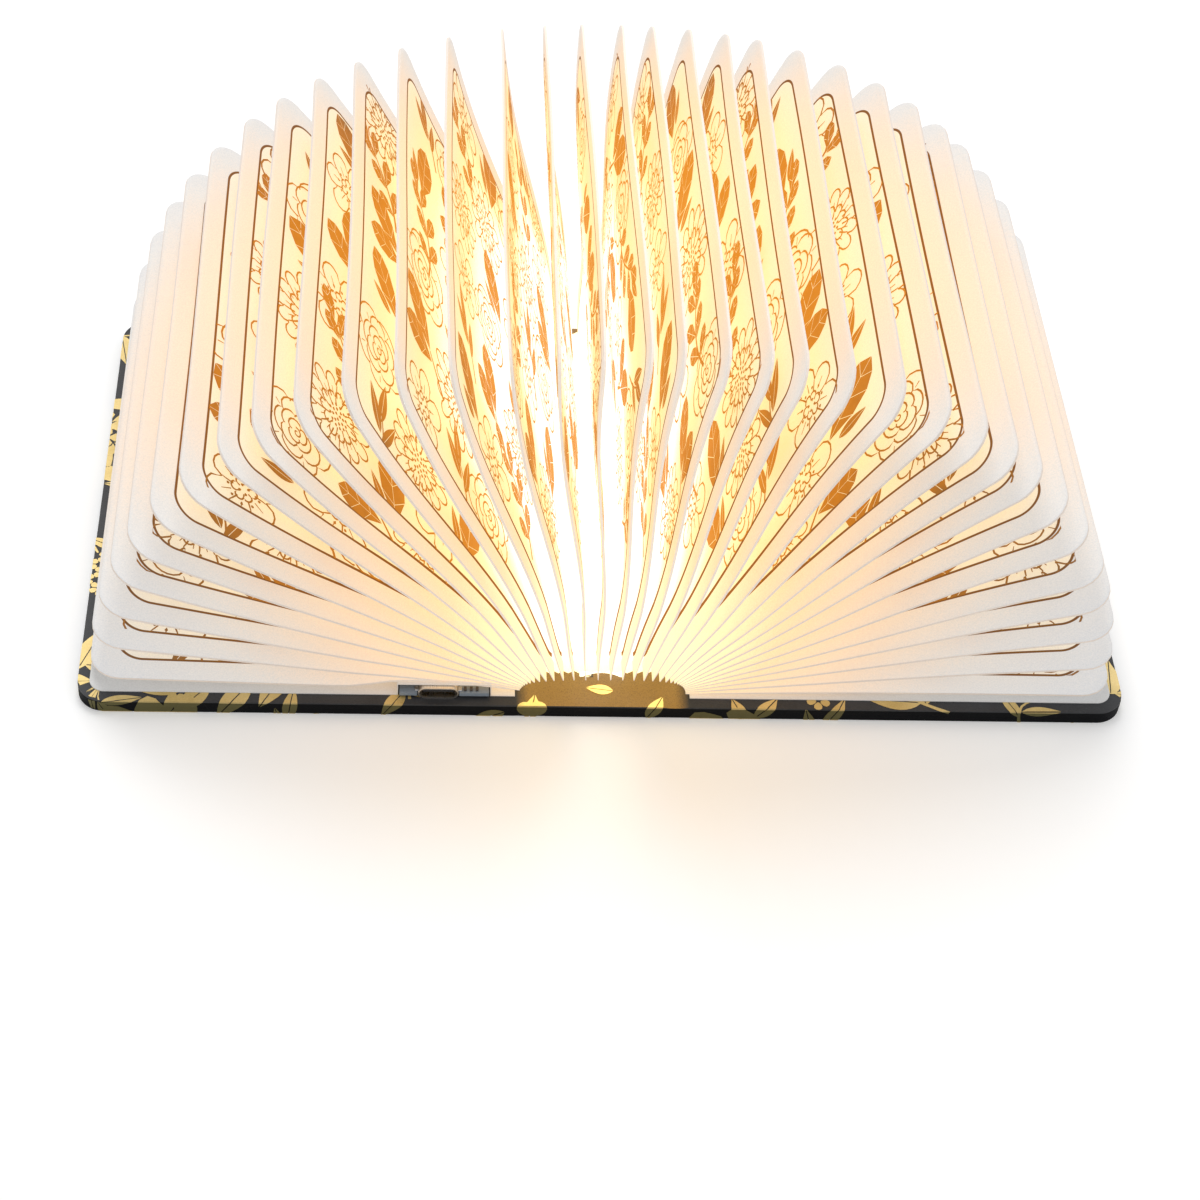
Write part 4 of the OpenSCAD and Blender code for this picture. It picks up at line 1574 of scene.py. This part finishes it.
@dataclass
class CaseSheet:
    """The covering sheet of the case, laid flat, with the way it folds round the boards."""

    half_x: float = 115.0
    half_y: float = 62.5
    corner: float = 6.0
    thick: float = 3.4
    lift: float = 0.04
    slack: float = 0.02
    show: float = 2.7
    turn_in: float = 15.0
    fold_x: float = 12.5
    board_x: float = 19.2

    def fold(self, flat: np.ndarray) -> np.ndarray:
        """Fold points of the flat sheet round the case.

        Args:
            flat: Places on the sheet, with the outside of the case as it lies on the table, and their layer.

        Returns:
            Places on the case in metres, just proud of its skin.
        """
        px, py = np.abs(flat[:, 0]), np.abs(flat[:, 1])
        sx, sy = np.sign(flat[:, 0]), np.sign(flat[:, 1])
        qx, qy = px - (self.half_x - self.corner), py - (self.half_y - self.corner)
        both = (qx > 0) & (qy > 0)
        size = np.where(both, np.hypot(qx, qy), 1.0)
        nx = np.where(both, qx / size, (qx > qy) * 1.0)
        ny = np.where(both, qy / size, (qx <= qy) * 1.0)
        bx = np.where(both, self.half_x - self.corner + nx * self.corner, np.where(qx > qy, self.half_x, px))
        by = np.where(both, self.half_y - self.corner + ny * self.corner, np.where(qx > qy, py, self.half_y))
        d = np.where(both, size - self.corner, np.maximum(qx, qy) - self.corner)
        t, e = self.thick, self.slack
        z = np.clip(d, 0, t)
        back = np.maximum(d - t, 0) + np.maximum(-d, 0)
        x = np.where(d < 0, px, bx - nx * back)
        y = np.where(d < 0, py, by - ny * back)
        lift = self.lift + flat[:, 2]
        side = ((d > -e) & (d < t + e)) * lift
        under = (d < e) * lift
        over = (d > t - e) * lift
        return np.stack([sx * (x + nx * side), sy * (y + ny * side), z - under + over], 1) * MM


@dataclass
class CasePrint:
    """The floral foil print of the case: roses, leafy sprays, berry heads and buds on one flat sheet."""

    herbs: Herbarium
    sheet: CaseSheet
    cell: float = 24.0
    scatter: tuple[float, float] = (4.5, 4.0)
    turns: tuple[float, float, float] = (20.0, 71.0, 128.0)
    scale: float = 0.86
    layer: float = 0.012
    top_layer: float = 0.05
    mitre: float = 8.0

    def motifs(self) -> dict[str, Stencil]:
        """The motifs by their letter.

        Returns:
            The motifs.
        """
        h = self.herbs
        blade = h.blade(15.0, 6.2, 0.32, 10)
        slim = h.blade(12.5, 4.0, 0.28, 8)
        rose = h.filled_rose([(4, 0.5, 3.4), (5, 3.3, 7.0), (7, 6.8, 11.4), (9, 11.0, 16.2)], 0.42)
        head = h.berry_head()
        floret = h.wreath(h.petal(3.6, 3.0, hollow=False, sides=10, blunt=0.3), 5, 0.8)
        return {
            "R": rose,
            "S": h.spray(blade, 32.0, 3, 1.0).moved(-14, 0),
            "T": h.spray(slim, 30.0, 4, 0.9).moved(-14, 0),
            "H": Stencil.joined([head, head.moved(10.5, 8.5, 20, 0.85),
                                 h.stem(lambda t: (-16 + 9 * t, -9 + 6 * t), 1.1, 5),
                                 slim.moved(-12, -6, 70, 0.8), slim.moved(-10, -5, -40, 0.8, True)]),
            "U": Stencil.joined([h.filled_bud(), h.stem(lambda t: (-10 + 10 * t, -3 * math.sin(math.pi * t)), 0.9, 7),
                                 slim.moved(-6, -2.2, 60, 0.8), slim.moved(-8, -1.8, -55, 0.8, True)]),
            "F": Stencil.joined([floret, floret.moved(9, 5, 30, 0.8), floret.moved(8, -6, 12, 0.7),
                                 h.stem(lambda t: (-11 + 9 * t, 2 * math.sin(3 * t)), 0.8, 6),
                                 blade.moved(-9, 1, 120, 0.7), blade.moved(-8, 0.5, -110, 0.7, True)]),
        }

    def draw(self) -> Stencil:
        """Lay the motifs out and score the sheet where it folds.

        Returns:
            The whole print on the flat sheet.
        """
        plan = ("TUSF...FSUT", "SRTHSURTSRS", "HSUFTSFHUTH", "TFSRHTRSTFS", "RSTUSFUTHSR", "SUHTRSTFSUT",
                "FTSU...TUSR")
        kit = self.motifs()
        parts = []
        for row, letters in enumerate(plan):
            for column, letter in enumerate(letters):
                x = (column - 5) * self.cell + self.scatter[0] * math.sin(1.7 * row + 2.1 * column)
                y = (row - 3) * self.cell + self.scatter[1] * math.cos(2.3 * row + 1.3 * column)
                first, across, down = self.turns
                if letter in kit:
                    parts.append(kit[letter].moved(x, y, first + across * column + down * row, self.scale,
                                                   (row + column) % 2 == 0, self.layer * (len(parts) % 4)))
        petal = self.herbs.petal(6.5, 5.4, hollow=False, sides=18, blunt=0.12)
        blade = self.herbs.blade(9.0, 4.2, 0.3, 10)
        bloom = Stencil.joined([petal.moved(0, 0, 32, 0.8), petal.moved(0, 0, -30, 0.7, layer=0.003),
                                blade.moved(-1.5, 0, 4, 0.9, layer=0.006)])
        for part, x, y, turn, scale in ((bloom, -16.0, 62.8, 84, 0.95), (blade, -21.5, 63.8, 205, 0.95),
                                        (blade, 2.4, 70.4, 172, 0.66), (blade, 9.8, 62.4, 62, 0.8),
                                        (blade, 31.0, 62.2, 112, 0.75), (blade, 33.5, 62.8, 50, 0.85)):
            for side in (-1, 1):
                parts.append(part.moved(x, side * y, side * turn, scale, layer=self.top_layer))
        s = self.sheet
        wide = s.half_x + s.thick + s.show
        tall = s.half_y + s.thick + s.turn_in
        cuts = [("x", -wide, -1), ("x", wide, 1), ("y", -tall, -1), ("y", tall, 1)]
        scores = (("y", s.half_y), ("y", s.half_y + s.thick), ("y", s.half_y + s.thick + s.show),
                  ("x", s.half_x), ("x", s.half_x + s.thick), ("x", s.fold_x), ("x", s.board_x))
        cuts += [(axis, sign * place, 0) for sign in (-1, 1) for axis, place in scores]
        return Stencil.joined(parts).cut(cuts)

    def panel(self, art: Stencil, low: float, high: float, full: bool) -> Stencil:
        """The part of the print between two places across the case.

        Args:
            art: The whole print.
            low: Lowest X.
            high: Highest X.
            full: Whether the whole turn-in shows.

        Returns:
            That part.
        """
        s = self.sheet
        tall = s.half_y + s.thick + (s.turn_in if full else s.show)
        faces = []
        for face in art.faces:
            x, y, _ = art.points[list(face)].mean(0)
            past_x, past_y = abs(x) - s.half_x, abs(y) - s.half_y
            in_corner = past_x > 0 and past_y > 0 and past_x + past_y > self.mitre
            if low < x < high and abs(y) < tall and not in_corner:
                faces.append(face)
        used = sorted({k for face in faces for k in face})
        order = {k: n for n, k in enumerate(used)}
        return Stencil(art.points[used], [tuple(order[k] for k in face) for face in faces])


@dataclass
class Case:
    """Boards, covering, joints, lining and endpapers."""

    sheet: CaseSheet
    prints: CasePrint
    band: float = 2.0
    band_cuts: int = 7
    band_foot: float = 0.05
    band_sag: float = 0.35

    def foil(self, name: str, part: Stencil) -> bpy.types.Object:
        """A piece of foil print folded round the case.

        Args:
            name: Name of the piece.
            part: Its flat pattern.

        Returns:
            The piece.
        """
        obj = part.bench()
        obj.name = name
        obj.data.name = name
        Bench.shape(obj, self.sheet.fold(part.points))
        Bench.edit()
        bpy.ops.mesh.flip_normals()
        Bench.done()
        Bench.paint(obj, Finish.FOIL)
        return obj

    def joint(self, name: str, side: int, print_part: Stencil) -> bpy.types.Object:
        """The flexible band beside the spine, with its print.

        Args:
            name: Name of the piece.
            side: -1 at the left and 1 at the right.
            print_part: The flat print over it.

        Returns:
            The piece.
        """
        s = self.sheet
        obj = Bench.cube()
        obj.name = name
        Bench.edit()
        bpy.ops.mesh.subdivide(number_cuts=self.band_cuts)
        Bench.done()
        co = Bench.corners(obj)
        x = s.fold_x + (s.board_x - s.fold_x) * (co[:, 0] * side + 0.5)
        top = s.thick - self.band_sag * np.sin(math.pi * (co[:, 0] * side + 0.5))
        z = self.band_foot + (co[:, 2] + 0.5) * (top - self.band_foot)
        Bench.shape(obj, np.stack([side * x, 2 * s.half_y * co[:, 1], z], 1) * MM)
        foil = self.foil(f"{name}_foil", print_part)
        for piece in (obj, foil):
            Bench.paint(piece, Finish.LEATHERETTE, Finish.FOIL)
        foil.data.polygons.foreach_set("material_index", [1] * len(foil.data.polygons))
        return Bench.fuse(obj, foil)

    def build(self, nodes: dict[str, bpy.types.Object]) -> None:
        """Dress the case.

        Args:
            nodes: The frame's nodes.
        """
        s = self.sheet
        for finish, names in ((Finish.BOARD, ("cover_board_left", "cover_board_right", "spine_board")),
                              (Finish.LEATHERETTE, ("cover_wrap_left", "cover_wrap_right", "cover_wrap_spine")),
                              (Finish.LIT_LINING, ("spine_lining",)),
                              (Finish.ENDPAPER, ("endpaper_left", "endpaper_right"))):
            for name in names:
                Bench.paint(nodes[name], finish)
        art = self.prints.draw()
        far = s.half_x + s.thick + s.show + 1
        for name, body, low, high in (("foil_print_left", "left_cover", -far, -s.board_x),
                                      ("foil_print_right", "right_cover", s.board_x, far),
                                      ("foil_print_spine", "spine", -s.fold_x, s.fold_x)):
            obj = self.foil(name, self.prints.panel(art, low, high, body == "spine"))
            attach(obj, body)
        for name, body, side in (("left", "left_cover", -1), ("right", "right_cover", 1)):
            low, high = sorted((side * s.fold_x, side * s.board_x))
            obj = self.joint(f"joint_band_{name}", side, self.prints.panel(art, low, high, True))
            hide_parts(f"hinge_strip_{name}")
            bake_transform(obj)
        log.info("case: print of %d faces", len(art.faces))


# ---------------------------------------------------------------- light and electronics


@dataclass
class LightStrip:
    """Channel, circuit strip, LEDs and frosted cover along the spine."""

    half: float = 47.0
    cover_half: float = 54.6

    def build(self, nodes: dict[str, bpy.types.Object]) -> None:
        """Dress the strip; its ends stay back behind the folds, under the longer frosted cover.

        Args:
            nodes: The frame's nodes.
        """
        for name, finish, half in (("led_channel", Finish.CHANNEL, self.half),
                                   ("led_board", Finish.LACQUER, self.half),
                                   ("led_chips", Finish.PHOSPHOR, self.half),
                                   ("led_diffuser", Finish.DIFFUSER, self.cover_half)):
            obj = trimmed(nodes[name], f"{name}_lit", [((0, 1, 0), half), ((0, -1, 0), half)])
            Bench.paint(obj, finish)
            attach(obj, "spine")
            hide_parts(name)
        Bench.paint(nodes["led_ribbon"], Finish.TAPE)
        log.info("light strip")


@dataclass
class ControlUnit:
    """Circuit board with its inlet, and the battery, sensor and magnet in the boards."""

    inlet_x: float = -36.0
    front: float = -60.7
    board_top: float = 4.9
    contacts: int = 12
    contact_pitch: float = 0.5
    contact_half: float = 0.13
    contact_reach: tuple[float, float] = (0.95, 3.6)
    contact_faces: tuple[tuple[float, float], ...] = ((5.36, 5.41), (4.65, 4.70))
    tab_x: float = 4.75
    tab_rows: tuple[float, float] = (1.4, 5.2)
    tab_half: tuple[float, float] = (0.45, 0.7)
    tab_height: tuple[float, float] = (-0.02, 0.35)

    def block(self, low: Sequence[float], high: Sequence[float], soft: float) -> bpy.types.Object:
        """A small block with softened edges.

        Args:
            low: Lowest corner in millimetres.
            high: Highest corner.
            soft: Width of its bevels.

        Returns:
            The block.
        """
        obj = Bench.cube()
        co = Bench.corners(obj)
        a, b = np.array(low), np.array(high)
        Bench.shape(obj, (a + (co + 0.5) * (b - a)) * MM)
        Bench.edit()
        bpy.ops.mesh.bevel(offset=soft * MM, segments=2, affect="EDGES")
        return Bench.done()

    def gather(self, name: str, parts: list[bpy.types.Object], finish: Finish) -> bpy.types.Object:
        """Join small parts into one piece that rides with the board.

        Args:
            name: Name of the piece.
            parts: Its parts.
            finish: Their finish.

        Returns:
            The piece.
        """
        obj = Bench.fuse(*parts)
        obj.name = name
        Bench.paint(obj, finish)
        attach(obj, "left_cover")
        return obj

    def build(self, nodes: dict[str, bpy.types.Object]) -> None:
        """Dress the unit and add its contacts and solder.

        Args:
            nodes: The frame's nodes.
        """
        for name, finish in (("main_board", Finish.MASK), ("board_tape", Finish.FOAM),
                             ("board_chips", Finish.CERAMIC), ("hall_sensor", Finish.CHIP),
                             ("usb_shell", Finish.SHELL), ("usb_tongue", Finish.TONGUE),
                             ("battery_pouch", Finish.POUCH), ("battery_leads", Finish.LEAD),
                             ("switch_magnet", Finish.MAGNET)):
            Bench.paint(nodes[name], finish)
        pads = []
        near, far = (self.front + reach for reach in self.contact_reach)
        for k in range(self.contacts):
            x = self.inlet_x + self.contact_pitch * (k - (self.contacts - 1) / 2)
            for low, high in self.contact_faces:
                pads.append(self.block((x - self.contact_half, near, low), (x + self.contact_half, far, high), 0.015))
        self.gather("inlet_contacts", pads, Finish.CONTACT)
        solder = []
        wide, deep = self.tab_half
        low, high = (self.board_top + z for z in self.tab_height)
        for x in (self.inlet_x - self.tab_x, self.inlet_x + self.tab_x):
            for y in (self.front + row for row in self.tab_rows):
                solder.append(self.block((x - wide, y - deep, low), (x + wide, y + deep, high), 0.15))
        self.gather("inlet_solder", solder, Finish.SOLDER)
        log.info("control unit")


# ---------------------------------------------------------------- studio


@dataclass
class Studio:
    """Pale floor, soft light and the camera."""

    target: tuple[float, float, float] = (-30.0, 17.5, 40.0)
    elevation: float = 41.462
    azimuth: float = -1.815
    roll: float = 2.087
    distance: float = 620.94
    focal: float = 2682.16
    frame_px: float = 1200.0
    centre: tuple[float, float] = (467.47, 336.48)
    ambient: float = 0.58
    # Middle and size of the painted warm pool of the strip's light before the spine, then the floor's tones outside and
    # inside it.
    patch: tuple[float, float] = (2.0, -84.0)
    patch_size: tuple[float, float] = (62.0, 26.0)
    floor_grey: Colour = (0.86, 0.865, 0.87)
    floor_lit_warm: Colour = (0.86, 0.82, 0.77)
    seen_grey: Colour = (0.24, 0.238, 0.235)
    seen_lit_warm: Colour = (0.228, 0.21, 0.19)

    def camera(self) -> None:
        """Place the camera at the photograph's angle."""
        e, a, r = (math.radians(v) for v in (self.elevation, self.azimuth, self.roll))
        ahead = Vector((-math.sin(a) * math.cos(e), math.cos(a) * math.cos(e), -math.sin(e)))
        right = Vector((math.cos(a), math.sin(a), 0))
        up = right.cross(ahead)
        rolled_right = math.cos(r) * right + math.sin(r) * up
        rolled_up = -math.sin(r) * right + math.cos(r) * up
        data = bpy.data.cameras.new("camera")
        data.sensor_width = 36.0
        data.lens = self.focal / self.frame_px * data.sensor_width
        data.shift_x = (self.frame_px / 2 - self.centre[0]) / self.frame_px
        data.shift_y = -(self.frame_px / 2 - self.centre[1]) / self.frame_px
        data.clip_start, data.clip_end = 0.05, 20.0
        cam = Bench.link("camera", data)
        place = Vector(self.target) * MM - ahead * self.distance * MM
        axes = Matrix((rolled_right, rolled_up, -ahead)).transposed().to_4x4()
        cam.matrix_world = Matrix.Translation(place) @ axes
        bpy.context.scene.camera = cam

    def floor(self) -> None:
        """Lay the pale floor, with a painted warm pool of the strip's light before the spine."""
        Bench.clear()
        bpy.ops.mesh.primitive_plane_add(size=8, location=(0, 0, -0.0002))
        obj = bpy.context.object
        obj.name = "floor"
        r = Recipe("floor")
        ray = r.node("ShaderNodeLightPath")
        x, y, _ = r.split(r.place())
        off = [r.math("DIVIDE", r.math("SUBTRACT", place, middle * MM), size * MM)
               for place, middle, size in zip((x, y), self.patch, self.patch_size)]
        far = r.math("ADD", *(r.math("MULTIPLY", d, d) for d in off))
        # Painted light: a warm pool before the spine, in the floor's colour and in what the camera sees of it.
        warm = r.math("POWER", 2.718, r.math("MULTIPLY", far, -1.0))
        r.set(Base_Color=r.mix(warm, self.floor_grey, self.floor_lit_warm), Roughness=0.9, Specular_IOR_Level=0.0)
        seen = r.mix(warm, self.seen_grey, self.seen_lit_warm)
        r.set(Emission_Color=r.mix(ray.outputs["Is Camera Ray"], BLACK, seen), Emission_Strength=1.0)
        obj.data.materials.append(r.material)

    def world(self) -> None:
        """Light the scene from all round with soft white."""
        world = bpy.data.worlds.new("studio")
        bpy.context.scene.world = world
        world.use_nodes = True
        g = Graph(world.node_tree)
        ray = g.node("ShaderNodeLightPath").outputs
        seen = g.math("ADD", ray["Is Camera Ray"], ray["Is Transmission Ray"], clamp=True)
        seen = g.math("ADD", seen, ray["Is Glossy Ray"], clamp=True)
        soft, plain = (g.node("ShaderNodeBackground", inputs={"Color": (*WHITE, 1.0), "Strength": level}).outputs[0]
                       for level in (self.ambient, 1.0))
        mixed = g.node("ShaderNodeMixShader", inputs={0: seen, 1: soft, 2: plain}).outputs[0]
        g.join(mixed, g.node("ShaderNodeOutputWorld").inputs["Surface"])

    def lamp(self, name: str, place: tuple[float, float, float], size: float, watts: float,
             colour: Colour = WHITE, aim: tuple[float, float, float] = (0.0, 0.0, 40.0)) -> None:
        """Hang a square soft light.

        Args:
            name: Its name.
            place: Where it hangs, in millimetres.
            size: Length of its side in millimetres.
            watts: Its power.
            colour: Its colour.
            aim: What it points at.
        """
        data = bpy.data.lights.new(name, "AREA")
        data.size = size * MM
        data.energy = watts
        data.color = colour
        obj = Bench.link(name, data)
        obj.location = Vector(place) * MM
        obj.rotation_euler = (Vector(aim) - Vector(place)).to_track_quat("-Z", "Y").to_euler()

    def build(self) -> None:
        """Set up floor, lights, world, camera and view."""
        self.floor()
        self.world()
        self.lamp("key_light", (-90, 380, 1000), 450, 4.6)
        self.lamp("fill_light", (500, -500, 800), 700, 0.7)
        self.lamp("strip_spill", (3, -90, 24), 34, 0.0005, (1.0, 0.5, 0.22), (3, -90, 0))
        self.camera()
        bpy.context.scene.view_settings.view_transform = "Standard"
        log.info("studio")


def main() -> None:
    """Build the lamp piece by piece, then the studio."""
    logging.basicConfig(level=logging.INFO, format="%(name)s: %(message)s")
    nodes = frame["nodes"]
    herbs = Herbarium()
    law = FanLaw()
    PageFan(law, PagePrint(herbs)).build()
    FoldStrip().build(nodes)
    sheet = CaseSheet()
    Case(sheet, CasePrint(herbs, sheet)).build(nodes)
    LightStrip().build(nodes)
    ControlUnit().build(nodes)
    Studio().build()
    Bench.clear()


if __name__ == "__main__":
    main()
